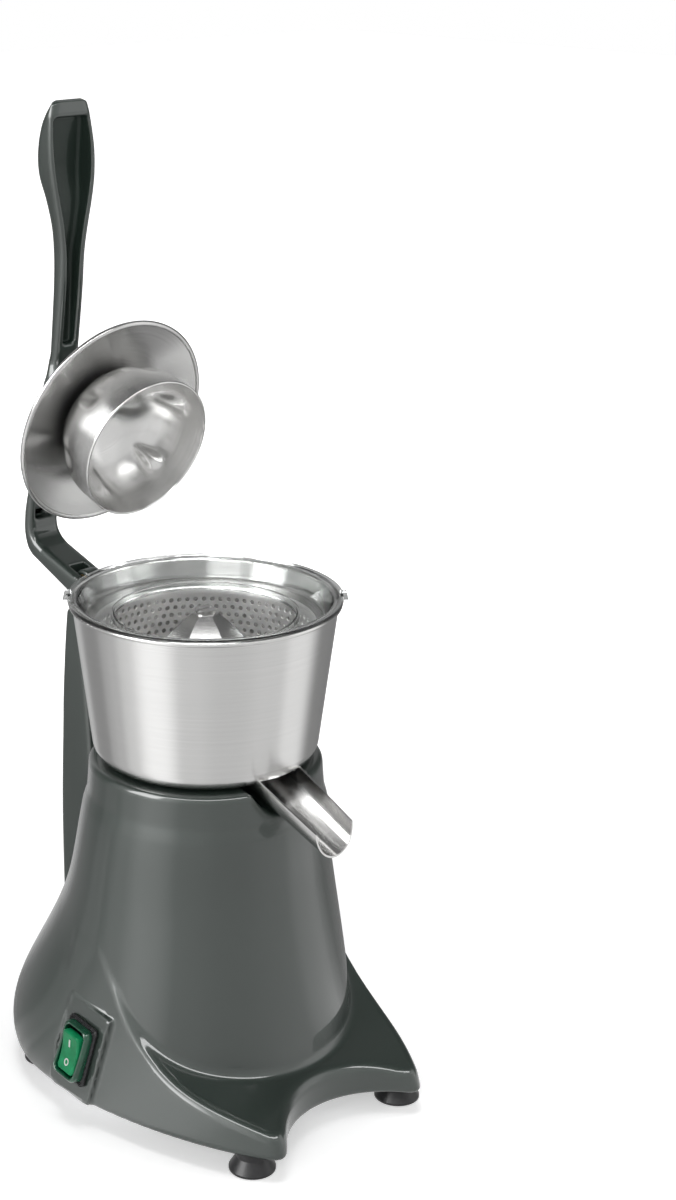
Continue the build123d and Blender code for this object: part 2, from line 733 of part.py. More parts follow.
half_throw = math.radians(rocker_throw / 2)
rocker_up = pad_plane.y_dir * math.cos(half_throw) + pad_plane.z_dir * math.sin(half_throw)
with BuildPart() as rocker:
    with BuildSketch(Plane(origin=pad_plane.origin, x_dir=rocker_up, z_dir=pad_plane.x_dir).offset(-rocker_width / 2)):
        with BuildLine():
            Polyline((-rocker_tall / 2, -4), (0, -6), (rocker_tall / 2, -4), (rocker_tall / 2, 3.6), (0, 2.2),
                     (-rocker_tall / 2, 3.6), close=True)
        make_face()
    extrude(amount=rocker_width)
rocker.part.label = "rocker"
export_step(rocker.part, "parts/rocker.step")

with BuildPart() as switch_boot:
    add(on_pad(boot_width, boot_tall, bezel_rise, bezel_rise + boot_rise, 4.0))
    fillet(switch_boot.faces().sort_by(lambda f: pad_plane.to_local_coords(f.center()).Z)[-1].edges(), 2.5)
    add(on_pad(boot_width - 2.4, boot_tall - 2.4, bezel_rise - 1, bezel_rise + boot_rise - 1.2, 3.0),
        mode=Mode.SUBTRACT)
switch_boot.part.label = "switch_boot"
export_step(switch_boot.part, "parts/switch_boot.step")

# Column behind the bowl, with the hinge tongue and a rib on its front
with BuildPart() as column:
    add(side_slab(column_back + [(column_back[-1][0] - 6, column_top)] + column_front, column_half))
    add(side_slab([(rib_front[-1][0] + 8, rib_front[-1][1] - 8)] + rib_front[::-1]
                  + [(hinge_y + eye_radius, hinge_z), (hinge_y + eye_radius, column_top - 3)], tongue_half))
    add(rod((-tongue_half, hinge_y, hinge_z), (1, 0, 0), eye_radius, 2 * tongue_half))
    add(rod((-20, hinge_y, hinge_z), (1, 0, 0), bush_radius + run_gap, 40), mode=Mode.SUBTRACT)
    for z in column_bolt_z:
        add(rod((0, pad_y - 1, z), (0, 1, 0), column_bolt + run_gap, bolt_grip + 2), mode=Mode.SUBTRACT)
    chamfer(column.edges().filter_by(lambda e: abs(e.center().X) > column_half - 0.1 and e.center().Y > 116), 2.0)
column.part.label = "column"
export_step(column.part, "parts/column.step")

with BuildPart() as column_bolts:
    for z in column_bolt_z:
        add(rod((0, bolt_seat, z), (0, 1, 0), column_bolt, pad_y + bolt_grip - bolt_seat))
        add(rod((0, bolt_seat - 4, z), (0, 1, 0), 5.0, 4))
        with BuildSketch(Plane(origin=(0, bolt_seat - 4, z), z_dir=(0, 1, 0))):
            RegularPolygon(2.6, 6)
        extrude(amount=2.5, mode=Mode.SUBTRACT)
column_bolts.part.label = "column_bolts"
export_step(column_bolts.part, "parts/column_bolts.step")

with BuildPart() as hinge_bush:
    add(rod((-tongue_half, hinge_y, hinge_z), (1, 0, 0), bush_radius, 2 * tongue_half))
    add(rod((-tongue_half - 1, hinge_y, hinge_z), (1, 0, 0), pin_radius + run_gap, 2 * tongue_half + 2),
        mode=Mode.SUBTRACT)
hinge_bush.part.label = "hinge_bush"
export_step(hinge_bush.part, "parts/hinge_bush.step")

pin_start = -fork_half + 2.5
with BuildPart() as hinge_pin:
    add(rod((pin_start, hinge_y, hinge_z), (1, 0, 0), pin_radius, fork_half - pin_start))
    add(block(fork_half - 1.2, fork_half + 1, hinge_y - 6, hinge_y + 6, hinge_z - 0.6, hinge_z + 0.6),
        mode=Mode.SUBTRACT)
hinge_pin.part.label = "hinge_pin"
export_step(hinge_pin.part, "parts/hinge_pin.step")

# Press axis: from the lever to the front and down
press_turn = math.radians(press_tilt)
press_way = (0, -math.cos(press_turn), -math.sin(press_turn))
press_center = (0, press_y, press_z)
press_plane = Plane(origin=press_center, x_dir=(1, 0, 0), z_dir=(0, math.sin(press_turn), -math.cos(press_turn)))
press_axis = Axis(press_center, press_way)


def on_press(radius, ahead, length):
    start = [c + ahead * w for c, w in zip(press_center, press_way)]
    return rod(tuple(start), press_way, radius, length)


def wide(table, low, high):
    right = [(w, hinge_z + z) for z, w in table if low <= z <= high]
    with BuildPart() as shape:
        with BuildSketch(Plane.XZ):
            with BuildLine():
                Polyline(*right, *[(-w, z) for w, z in right[::-1]], close=True)
            make_face()
        extrude(amount=260, both=True)
    return shape.part


# Hollow front of the grip, and the shallow panel below it
with BuildPart() as grip_hollow:
    with BuildSketch(Plane.YZ):
        with BuildLine():
            grip_low, grip_high = [hinge_z + grip_width[k][0] for k in (0, -1)]
            back = [(y - grip_wall, z) for y, z in arm_grip_back if grip_low <= z <= grip_high]
            low = (back[-1][0] + 2, grip_low)
            Polyline((hinge_y - 46, grip_high), (back[0][0], grip_high), *back, low, (hinge_y - 46, grip_low),
                     close=True)
        make_face()
    extrude(amount=30, both=True)
    add(wide(grip_width, grip_width[0][0], grip_width[-1][0]), mode=Mode.INTERSECT)

panel_low, panel_high = [hinge_z + h for h in panel_span]
knee_top = arm_knee[-1]
grip_foot = arm_grip_front[0]


def shin_line(z):
    return along([(knee_top[1], knee_top[0]), (grip_foot[1], grip_foot[0])], z)


with BuildPart() as press_arm:
    with BuildSketch(Plane.YZ):
        with BuildLine():
            Polyline(*arm_shin)
            Spline(*arm_knee)
            Line(arm_knee[-1], arm_grip_front[0])
            Spline(*arm_grip_front)
            Line(arm_grip_front[-1], arm_grip_back[0])
            Spline(*arm_grip_back)
            Line(arm_grip_back[-1], arm_heel[0])
            Spline(*arm_heel)
            Line(arm_heel[-1], (hinge_y + 6.6, hinge_z - 7.4))
            ThreePointArc((hinge_y + 6.6, hinge_z - 7.4), (hinge_y - 1.5, hinge_z - 10.3), arm_shin[0])
        make_face()
    extrude(amount=30, both=True)
    add(wide(arm_width, arm_width[0][0], arm_width[-1][0]), mode=Mode.INTERSECT)
    add(on_press(boss_radius, -boss_reach, boss_reach - flange_depth))
    add(grip_hollow.part, mode=Mode.SUBTRACT)
    add(side_slab([(hinge_y - 46, panel_low), (shin_line(panel_low) + panel_deep, panel_low),
                   (shin_line(panel_high) + panel_deep, panel_high), (hinge_y - 46, panel_high)], panel_half),
        mode=Mode.SUBTRACT)
    add(block(-tongue_half - fork_gap, tongue_half + fork_gap, hinge_y - 46, hinge_y + fork_reach, hinge_z - 40,
              hinge_z + 40), mode=Mode.SUBTRACT)
    add(rod((pin_start, hinge_y, hinge_z), (1, 0, 0), pin_radius + 0.02, 40), mode=Mode.SUBTRACT)
    add(on_press(press_bolt_radius + run_gap, -flange_depth - 24, 26), mode=Mode.SUBTRACT)
press_arm.part.label = "press_arm"
export_step(press_arm.part, "parts/press_arm.step")

with BuildPart() as splash_flange:
    add(sheet([(press_bolt_radius + run_gap, -flange_depth), (flange_flat, -flange_depth),
               (flange_radius - flange_bead, -flange_bead)], [6], press_wall, Side.LEFT, press_plane, press_axis))
    add(ring(flange_radius - flange_bead, -flange_bead, flange_bead, press_plane, press_axis))
splash_flange.part.label = "splash_flange"
export_step(splash_flange.part, "parts/splash_flange.step")

# Cup for half a fruit: drawn sheet with drop-shaped bumps pressed inwards
cup_floor = -flange_depth + press_wall
cup_path = [(press_bolt_radius + run_gap, cup_floor), (0.28 * cup_radius, cup_floor), (0.7 * cup_radius, cup_floor + 8),
            (cup_radius - 0.8, cup_floor + 25), (cup_radius, cup_ahead)]
cup_bends = [20, 30, 30]
bump_mid = (0.5 * (cup_path[2][0] + cup_path[3][0]), 0.5 * (cup_path[2][1] + cup_path[3][1]))
bump_lean = math.atan2(cup_path[3][0] - cup_path[2][0], cup_path[3][1] - cup_path[2][1])


def bumps(radius):
    with BuildPart() as shape:
        for k in range(bump_count):
            turn = 2 * math.pi * (k + 0.5) / bump_count
            side = press_plane.x_dir * math.cos(turn) + press_plane.z_dir * math.sin(turn)
            ahead = press_plane.y_dir
            middle = press_plane.origin + side * (bump_mid[0] + 0.6) + ahead * bump_mid[1]
            way = side * math.sin(bump_lean) + ahead * math.cos(bump_lean)
            ends = [middle - way * (bump_length / 2), middle + way * (bump_length / 2)]
            add(rod(tuple(ends[0]), tuple(way), radius, bump_length))
            with Locations(ends[0], ends[1]):
                Sphere(radius)
    return shape.part


with BuildPart() as cup_envelope:
    with BuildSketch(press_plane):
        with BuildLine():
            FilletPolyline(*cup_path, radius=cup_bends)
            Polyline(cup_path[-1], (0, cup_path[-1][1]), (0, cup_floor), cup_path[0])
        make_face()
    revolve(axis=press_axis)

with BuildPart() as inner_bumps:
    add(bumps(bump_radius))
    add(cup_envelope.part, mode=Mode.INTERSECT)

with BuildPart() as press_cup:
    add(sheet(cup_path, cup_bends, press_wall, Side.LEFT, press_plane, press_axis))
    add(inner_bumps.part)
    add(bumps(bump_radius - press_wall), mode=Mode.SUBTRACT)
press_cup.part.label = "press_cup"
export_step(press_cup.part, "parts/press_cup.step")

with BuildPart() as press_bolt:
    add(on_press(press_bolt_radius, -flange_depth - 20, 20 + 2 * press_wall))
    add(on_press(press_bolt_radius + 4, cup_floor + press_wall, 3.6))
    fillet(circles(press_bolt, press_bolt_radius + 3.9).sort_by(Axis.Z)[0], 2.4)
press_bolt.part.label = "press_bolt"
export_step(press_bolt.part, "parts/press_bolt.step")

# Bowl: drawn sheet with centre tube and rolled rim; the trough drains it over the front edge of the base
bowl_low = base_top + slip_gap
bowl_slope = (bowl_rim_radius - 2 - bowl_foot_radius) / (bowl_rim_top - 2.2 - bowl_low - 11)
bowl_path = [(tube_radius, tube_top), (tube_radius, bowl_low), (bowl_foot_radius - 11 * bowl_slope, bowl_low),
             (bowl_rim_radius - 2 * bead + 0.8, bowl_rim_top - bead)]
trough_depth = base_top - notch_drop + spout_lift
trough_start = (0, -top_radius + 30 * math.cos(channel_fall) - spout_radius * math.sin(channel_fall),
                trough_depth + 30 * math.sin(channel_fall) + spout_radius * math.cos(channel_fall))
trough_plane = Plane(origin=trough_start, x_dir=(1, 0, 0), z_dir=channel_way)
trough_length = (-top_radius + 30 - spout_end_y) / math.cos(channel_fall)


def trough(wide_radius, tip_radius, rise, length):
    with BuildPart() as shape:
        for distance, radius in ((0, wide_radius), (length, tip_radius)):
            with BuildSketch(trough_plane.offset(distance)):
                with BuildLine():
                    ThreePointArc((-radius, 0), (0, -radius), (radius, 0))
                    Polyline((radius, 0), (radius, rise), (-radius, rise), (-radius, 0))
                make_face()
        loft()
    return shape.part


with BuildPart() as bowl:
    add(sheet(bowl_path, [1.5, bowl_bend], steel, Side.LEFT))
    add(ring(bowl_rim_radius - bead, bowl_rim_top - bead, bead))
    add(trough(spout_radius - steel, spout_tip_radius - steel, 0.1, trough_length), mode=Mode.SUBTRACT)
bowl.part.label = "bowl"
export_step(bowl.part, "parts/bowl.step")

with BuildPart() as bowl_envelope:
    with BuildSketch(Plane.XZ):
        with BuildLine():
            FilletPolyline(*bowl_path[1:], radius=[bowl_bend])
            Polyline(bowl_path[-1], (0, bowl_path[-1][1]), (0, bowl_low), bowl_path[1])
        make_face()
    revolve(axis=Axis.Z)

with BuildPart() as spout:
    add(trough(spout_radius, spout_tip_radius, spout_rise, trough_length))
    add(trough(spout_radius - steel, spout_tip_radius - steel, spout_rise + 1, trough_length), mode=Mode.SUBTRACT)
    add(bowl_envelope.part, mode=Mode.SUBTRACT)
    add(side_slab([(spout_end_y - 40, trough_start[2]), (spout_end_y - 40, trough_start[2] - 90),
                   (spout_end_y + 4, trough_start[2] - 90), (spout_end_y + 13, trough_start[2])], 40),
        mode=Mode.SUBTRACT)
spout.part.label = "spout"
export_step(spout.part, "parts/spout.step")

# Sieve basket: many-sided wall with staggered rows of round holes, each in the middle of its side
sieve_low = sieve_floor + slip_gap
sieve_sides = 2 * hole_columns
hole_first = sieve_low + (sieve_height - (hole_rows - 1) * hole_pitch) / 2
sieve_holes = []
for row in range(hole_rows):
    for column_number in range(hole_columns):
        turn = (column_number + 0.5 * (row % 2)) * 360 / hole_columns
        middle = Vector(sieve_radius - 4 * sieve_wall, 0, hole_first + row * hole_pitch)
        sieve_holes.append(rod(tuple(middle.rotate(Axis.Z, turn)), tuple(Vector(1, 0, 0).rotate(Axis.Z, turn)),
                               hole_radius, 6 * sieve_wall))

with BuildPart() as sieve_basket:
    with BuildSketch(Plane.XY.offset(sieve_low)):
        RegularPolygon(sieve_radius, sieve_sides, rotation=180 / sieve_sides)
    extrude(amount=sieve_height)
    with BuildSketch(Plane.XY.offset(sieve_low + sieve_wall)):
        RegularPolygon(sieve_radius - sieve_wall, sieve_sides, rotation=180 / sieve_sides)
    extrude(amount=sieve_height, mode=Mode.SUBTRACT)
    add(disc(sieve_hole + 1.6, sieve_low - 4, sieve_low))
    add(disc(sieve_hole, sieve_low - 5, sieve_low + 5), mode=Mode.SUBTRACT)
    add(sieve_holes, mode=Mode.SUBTRACT)
sieve_basket.part.label = "sieve_basket"
export_step(sieve_basket.part, "parts/sieve_basket.step")

# Reamer cone: six panels between sharp ridges, hollow, with a hub that takes the shaft
cone_rise = cone_tip - 3 - cone_bottom


def cone_loft(shrink, top):
    with BuildPart() as shape:
        for share, radius in cone_ridge:
            if share <= top:
                with BuildSketch(Plane.XY.offset(cone_bottom + share * cone_rise)):
                    RegularPolygon(radius * cone_radius - shrink, 6, rotation=cone_turn)
        loft()
    return shape.part


with BuildPart() as reamer_cone:
    add(cone_loft(0, 1.0))
    add(disc(6, cone_tip - 3.5, cone_tip))
    add(block(-8, 8, -1, 1, cone_tip - 1.2, cone_tip + 1), mode=Mode.SUBTRACT)
    add(cone_loft(3.0, 0.8), mode=Mode.SUBTRACT)
    add(disc(shaft_radius + 3.6, ring_top + slip_gap, cone_tip - 8))
    add(disc(shaft_radius + slip_gap, ring_top, shaft_top + slip_gap), mode=Mode.SUBTRACT)
    add(block(-shaft_radius - 1, shaft_radius + 1, -shaft_radius - 1, -shaft_flat - slip_gap, ring_top + 2,
              shaft_top + slip_gap))
reamer_cone.part.label = "reamer_cone"
export_step(reamer_cone.part, "parts/reamer_cone.step")

# Clear lid: ring-shaped dish on the bowl rim, with two finger tabs
lid_low = bowl_rim_top + slip_gap
tab_turn = math.atan2(0.66, -0.75)
with BuildPart() as lid:
    add(sheet([(lid_radius, lid_low), (lid_radius - 4.1, lid_low), (lid_radius - 9.2, lid_floor), (lid_hole, lid_floor),
               (lid_hole, lid_floor + 4.7)], [2.5, 3, 1], lid_wall, Side.RIGHT))
    for turn in (tab_turn, tab_turn + math.pi):
        with BuildSketch(Plane.XY.offset(lid_low)):
            with Locations((lid_radius * math.cos(turn), lid_radius * math.sin(turn))):
                Rectangle(5, 9, rotation=math.degrees(turn))
        extrude(amount=lid_wall + 1.6, taper=14)
lid.part.label = "lid"
export_step(lid.part, "parts/lid.step")
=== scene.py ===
import json
import math
import bmesh
import bpy
import numpy as np
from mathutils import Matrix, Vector


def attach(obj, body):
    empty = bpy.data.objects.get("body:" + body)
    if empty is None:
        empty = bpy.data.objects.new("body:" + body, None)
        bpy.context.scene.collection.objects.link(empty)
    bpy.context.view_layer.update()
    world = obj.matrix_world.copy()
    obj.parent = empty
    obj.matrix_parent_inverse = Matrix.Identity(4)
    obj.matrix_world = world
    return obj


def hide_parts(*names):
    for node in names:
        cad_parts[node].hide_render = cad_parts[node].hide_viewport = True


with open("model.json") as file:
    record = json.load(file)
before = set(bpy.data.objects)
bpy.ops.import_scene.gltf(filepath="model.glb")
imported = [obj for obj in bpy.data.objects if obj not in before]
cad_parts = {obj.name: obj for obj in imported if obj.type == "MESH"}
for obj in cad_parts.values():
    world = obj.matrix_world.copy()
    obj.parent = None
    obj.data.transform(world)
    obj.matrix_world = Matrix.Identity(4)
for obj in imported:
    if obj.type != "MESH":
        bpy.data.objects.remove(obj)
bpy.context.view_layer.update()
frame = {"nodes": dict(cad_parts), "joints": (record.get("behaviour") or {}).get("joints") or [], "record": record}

nodes = frame["nodes"]
mm = 0.001  # pieces are worked out in millimetres, the studio in metres
jointPlaces = {joint["name"]: [c / mm for c in joint["pos_m"]]
               for joint in frame["joints"] if "pos_m" in joint}
hingeY, hingeZ = jointPlaces["lever_hinge"][1:]


def shaderOf(material):
    return material.node_tree.nodes["Principled BSDF"]


def newMaterial(name, settings):
    material = bpy.data.materials.new(name)
    material.use_nodes = True
    shader = shaderOf(material)
    for socket, value in settings.items():
        shader.inputs[socket].default_value = value
    return material


def addNode(material, kind, **settings):
    node = material.node_tree.nodes.new(kind)
    for key, value in settings.items():
        setattr(node, key, value)
    return node


def link(material, source, target):
    material.node_tree.links.new(source, target)


def objectPlace(material):
    return addNode(material, "ShaderNodeTexCoord").outputs["Object"]


def noiseOf(material, vector, scale, detail=3.0, roughness=0.5):
    noise = addNode(material, "ShaderNodeTexNoise")
    noise.inputs["Scale"].default_value = scale
    noise.inputs["Detail"].default_value = detail
    noise.inputs["Roughness"].default_value = roughness
    link(material, vector, noise.inputs["Vector"])
    return noise.outputs["Fac"]


def rampOf(material, value, low, high, start=0.3, end=0.7):
    ramp = addNode(material, "ShaderNodeMapRange")
    ramp.inputs["From Min"].default_value = start
    ramp.inputs["From Max"].default_value = end
    ramp.inputs["To Min"].default_value = low
    ramp.inputs["To Max"].default_value = high
    link(material, value, ramp.inputs["Value"])
    return ramp.outputs["Result"]


def mixColors(material, value, low, high):
    mix = addNode(material, "ShaderNodeMix", data_type="RGBA")
    mix.inputs["A"].default_value = (*low, 1)
    mix.inputs["B"].default_value = (*high, 1)
    link(material, value, mix.inputs["Factor"])
    return mix.outputs["Result"]


def mixValues(material, factor, low, high):
    mix = addNode(material, "ShaderNodeMix", data_type="FLOAT")
    for name, value in (("Factor", factor), ("A", low), ("B", high)):
        if isinstance(value, float):
            mix.inputs[name].default_value = value
        else:
            link(material, value, mix.inputs[name])
    return mix.outputs["Result"]


def joinValues(material, operation, first, second):
    node = addNode(material, "ShaderNodeMath", operation=operation)
    link(material, first, node.inputs[0])
    link(material, second, node.inputs[1])
    return node.outputs["Value"]


def vectorMath(material, operation, *values):
    node = addNode(material, "ShaderNodeVectorMath", operation=operation)
    for socket, value in zip(node.inputs, values):
        if isinstance(value, tuple):
            socket.default_value = value
        else:
            link(material, value, socket)
    return node.outputs["Value" if operation in ("DOT_PRODUCT", "LENGTH") else "Vector"]


def tint(material, value, low, high):
    color = mixColors(material, rampOf(material, value, 0, 1), low, high)
    link(material, color, shaderOf(material).inputs["Base Color"])


def bumpOf(material, value, strength, distance):
    bump = addNode(material, "ShaderNodeBump")
    bump.inputs["Strength"].default_value = strength
    bump.inputs["Distance"].default_value = distance
    link(material, value, bump.inputs["Height"])
    link(material, bump.outputs["Normal"], shaderOf(material).inputs["Normal"])


def paintMaterial(name, raw=None):
    look = {"low": (0.016, 0.0255, 0.0205), "high": (0.021, 0.0325, 0.0265), "rough": 0.42, "clouds": 9.0,
            "coat": 1.0, "coatRough": 0.02, "coatIor": 1.65, "gloss": 0.5, "rawCoat": 0.12, "rawGloss": 0.2,
            "peel": 420.0, "peelDetail": 1.0, "peelStrength": 0.03, "peelDepth": 0.0004}
    paint = newMaterial(name, {"Roughness": look["rough"], "Coat Weight": look["coat"],
                               "Coat Roughness": look["coatRough"], "Coat IOR": look["coatIor"]})
    if raw:  # thin dull paint where the attribute is 1
        share = addNode(paint, "ShaderNodeAttribute", attribute_name=raw).outputs["Fac"]
        coat = rampOf(paint, share, look["coat"], look["rawCoat"], 0.0, 1.0)
        gloss = rampOf(paint, share, look["gloss"], look["rawGloss"], 0.0, 1.0)
        link(paint, coat, shaderOf(paint).inputs["Coat Weight"])
        link(paint, gloss, shaderOf(paint).inputs["Specular IOR Level"])
    place = objectPlace(paint)
    tint(paint, noiseOf(paint, place, look["clouds"]), look["low"], look["high"])
    peel = noiseOf(paint, place, look["peel"], look["peelDetail"])
    bumpOf(paint, peel, look["peelStrength"], look["peelDepth"])
    return paint


def spunSteel(name, look):
    steel = newMaterial(name, {"Metallic": 1.0, "Anisotropic": look["aniso"],
                               "Anisotropic Rotation": look["turn"]})
    place = objectPlace(steel)
    arm = vectorMath(steel, "SUBTRACT", place, look["center"])
    around = vectorMath(steel, "CROSS_PRODUCT", look["axis"], arm)
    # Turning lines: rings of one height and radius, which drift a little
    rings = addNode(steel, "ShaderNodeCombineXYZ")
    link(steel, vectorMath(steel, "DOT_PRODUCT", arm, look["axis"]), rings.inputs["X"])
    link(steel, vectorMath(steel, "LENGTH", around), rings.inputs["Y"])
    drift = vectorMath(steel, "MULTIPLY", arm, (look["drift"],) * 3)
    turned = vectorMath(steel, "ADD", rings.outputs["Vector"], drift)
    lines = noiseOf(steel, turned, look["lines"], 2.0, 0.6)
    clouds = noiseOf(steel, place, look["clouds"], 2.0)
    tint(steel, lines, look["low"], look["high"])
    rough = rampOf(steel, lines, look["smooth"], look["rough"])
    waver = rampOf(steel, clouds, -look["waver"], look["waver"])
    link(steel, joinValues(steel, "ADD", rough, waver), shaderOf(steel).inputs["Roughness"])
    tangent = addNode(steel, "ShaderNodeVectorTransform", vector_type="VECTOR", convert_from="OBJECT",
                      convert_to="WORLD")
    link(steel, around, tangent.inputs["Vector"])
    link(steel, tangent.outputs["Vector"], shaderOf(steel).inputs["Tangent"])
    return steel


def plainDetail(name, settings, low, high, scale, bump):
    grainDepth = 0.0003
    material = newMaterial(name, settings)
    grain = noiseOf(material, objectPlace(material), scale)
    tint(material, grain, low, high)
    bumpOf(material, grain, bump, grainDepth)
    return material


def clearMaterial():
    look = {"low": (0.955, 0.97, 0.965), "high": (0.98, 0.99, 0.985), "ripple": 60.0, "ior": 1.47}
    clear = newMaterial("clearPlastic", {"Transmission Weight": 1.0, "Roughness": 0.0, "IOR": look["ior"]})
    tint(clear, noiseOf(clear, objectPlace(clear), look["ripple"]), look["low"], look["high"])
    return clear


print("stage materials")
paint = paintMaterial("greenGreyPaint")
leverPaint = paintMaterial("leverPaint", "raw")
steelLook = {"aniso": 0.7, "turn": 0.25, "center": (0, 0, 0), "axis": (0, 0, 1),
             "lines": 2600.0, "drift": 0.006, "clouds": 7.0, "waver": 0.02, "smooth": 0.2, "rough": 0.25,
             "low": (0.645, 0.642, 0.635), "high": (0.69, 0.687, 0.68)}
steel = spunSteel("spunSteel", steelLook)
pressTurn = math.radians(17.5)  # the raised press looks forwards and down by this
pressAxis = (0, -math.cos(pressTurn), -math.sin(pressTurn))
pressCenter = (0, 0.0812, 0.3844)
# Flange steel: the same pressed steel as the cup, made darker than the bowl steel as painted shade
pressShadedLook = {**steelLook, "aniso": 0.9, "center": pressCenter, "axis": pressAxis,
             "low": (0.575, 0.572, 0.566), "high": (0.63, 0.627, 0.62)}
pressSteelPaintedShade = spunSteel("pressSteelPaintedShade", pressShadedLook)
# Cup steel: the same pressed steel as the flange, made brighter as a painted highlight on the cup's inside
cupSteelPaintedLight = spunSteel("cupSteelPaintedLight", {**pressShadedLook, "aniso": 0.86, "smooth": 0.19, "rough": 0.24,
                                  "low": (0.7, 0.698, 0.69), "high": (0.76, 0.758, 0.75)})
sieveSteel = spunSteel("sieveSteel", {**steelLook, "aniso": 0.2, "smooth": 0.34, "rough": 0.4,
                                      "low": (0.74, 0.738, 0.73), "high": (0.8, 0.797, 0.79)})
polished = plainDetail("polishedSteel", {"Metallic": 1.0, "Roughness": 0.1},
                       (0.76, 0.76, 0.75), (0.82, 0.82, 0.81), 300.0, 0.01)
rubber = plainDetail("blackRubber", {"Roughness": 0.36},
                     (0.010, 0.010, 0.011), (0.018, 0.018, 0.019), 250.0, 0.12)
blackPlastic = plainDetail("blackPlastic", {"Roughness": 0.35},
                           (0.011, 0.011, 0.012), (0.02, 0.02, 0.021), 500.0, 0.06)
whitePlastic = plainDetail("whitePlastic", {"Roughness": 0.4},
                           (0.78, 0.78, 0.76), (0.86, 0.86, 0.84), 300.0, 0.03)
boot = plainDetail("greenBoot", {"Roughness": 0.3, "Specular IOR Level": 0.25},
                   (0.004, 0.21, 0.075), (0.012, 0.33, 0.13), 160.0, 0.03)
bootLip = plainDetail("greenLip", {"Roughness": 0.18, "Coat Weight": 0.6, "Coat Roughness": 0.06},
                      (0.003, 0.055, 0.026), (0.006, 0.085, 0.042), 160.0, 0.03)
zinc = plainDetail("zincPlate", {"Metallic": 1.0, "Roughness": 0.38},
                   (0.42, 0.43, 0.44), (0.58, 0.59, 0.60), 200.0, 0.05)
bronze = plainDetail("bronze", {"Metallic": 1.0, "Roughness": 0.4},
                     (0.45, 0.30, 0.13), (0.58, 0.41, 0.2), 240.0, 0.05)
copper = plainDetail("copperWire", {"Metallic": 1.0, "Roughness": 0.35},
                     (0.52, 0.22, 0.09), (0.66, 0.32, 0.15), 260.0, 0.2)
iron = plainDetail("laminations", {"Metallic": 1.0, "Roughness": 0.5},
                   (0.16, 0.16, 0.165), (0.26, 0.26, 0.27), 200.0, 0.1)
alloy = plainDetail("castAlloy", {"Metallic": 1.0, "Roughness": 0.5},
                    (0.48, 0.48, 0.49), (0.62, 0.62, 0.63), 220.0, 0.2)
clear = clearMaterial()
slotLooks = {"painted": paint, "steel": steel, "polished": polished, "clear": clear, "black_rubber": rubber,
             "black_plastic": blackPlastic, "green_boot": boot, "white_plastic": whitePlastic, "zinc": zinc,
             "bronze": bronze, "copper": copper, "laminations": iron, "cast_alloy": alloy}


def wear(node, look):
    node.data.materials.clear()
    node.data.materials.append(look)


for part in frame["record"]["subparts"]:
    wear(nodes[part["node"]], slotLooks[part["material_slot"]])
# the splash flange wears the darker steel, which is painted shade
wear(nodes["splash_flange"], pressSteelPaintedShade)
nodes["lid"].visible_shadow = False


def linkObject(name, data):
    made = bpy.data.objects.new(name, data)
    bpy.context.scene.collection.objects.link(made)
    return made


def addPiece(name, mesh, look, body, node):
    mesh.materials.append(look)
    piece = linkObject(name, mesh)
    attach(piece, body)
    if node:
        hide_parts(node)


def meshOf(name, bm):
    bmesh.ops.recalc_face_normals(bm, faces=bm.faces)
    mesh = bpy.data.meshes.new(name)
    bm.to_mesh(mesh)
    bm.free()
    return mesh


# Fields measure the distance to a surface, below zero inside
def curveOf(points, degree, reach):
    place, value = np.array(points, float).T
    middle, spread = place.mean(), place.std()
    terms = np.polyfit((place - middle) / spread, value, degree)
    return lambda at: np.polyval(terms, (np.clip(at, *reach) - middle) / spread)


def softMin(a, b, blend):
    share = np.clip(0.5 + 0.5 * (b - a) / blend, 0, 1)
    return b + (a - b) * share - blend * share * (1 - share)


def softMax(a, b, blend):
    return -softMin(-a, -b, blend)


def boxField(x, y, z, half, corner):
    px, py, pz = (abs(c) - h + corner for c, h in zip((x, y, z), half))
    outside = np.sqrt(np.maximum(px, 0) ** 2 + np.maximum(py, 0) ** 2 + np.maximum(pz, 0) ** 2)
    return outside + np.minimum(np.maximum(px, np.maximum(py, pz)), 0) - corner


def frameField(u, v, half, corner):
    pu, pv = abs(u) - half[0] + corner, abs(v) - half[1] + corner
    return np.hypot(np.maximum(pu, 0), np.maximum(pv, 0)) + np.minimum(np.maximum(pu, pv), 0) - corner


def outlineField(points):
    first = np.array(points, float)
    second = np.roll(first, -1, axis=0)
    tiny = 1e-9

    def field(u, v):
        nearest = np.full(np.shape(u), np.inf)
        inside = np.zeros(np.shape(u), bool)
        for (au, av), (bu, bv) in zip(first, second):
            eu, ev = bu - au, bv - av
            share = np.clip(((u - au) * eu + (v - av) * ev) / (eu * eu + ev * ev + tiny), 0, 1)
            nearest = np.minimum(nearest, (u - au - share * eu) ** 2 + (v - av - share * ev) ** 2)
            if ev:
                inside ^= ((av > v) != (bv > v)) & (u < eu * (v - av) / ev + au)
        return np.where(inside, -1, 1) * np.sqrt(nearest)

    return field


def smoothPath(points, count=8):
    line = [points[0], *points, points[-1]]
    path = []
    for a, b, c, d in zip(line, line[1:], line[2:], line[3:]):
        for k in range(count):
            t = k / count
            path.append(tuple(0.5 * (2 * q + (r - p) * t + (2 * p - 5 * q + 4 * r - s) * t ** 2
                                     + (3 * q - p - 3 * r + s) * t ** 3) for p, q, r, s in zip(a, b, c, d)))
    return path + [tuple(points[-1])]


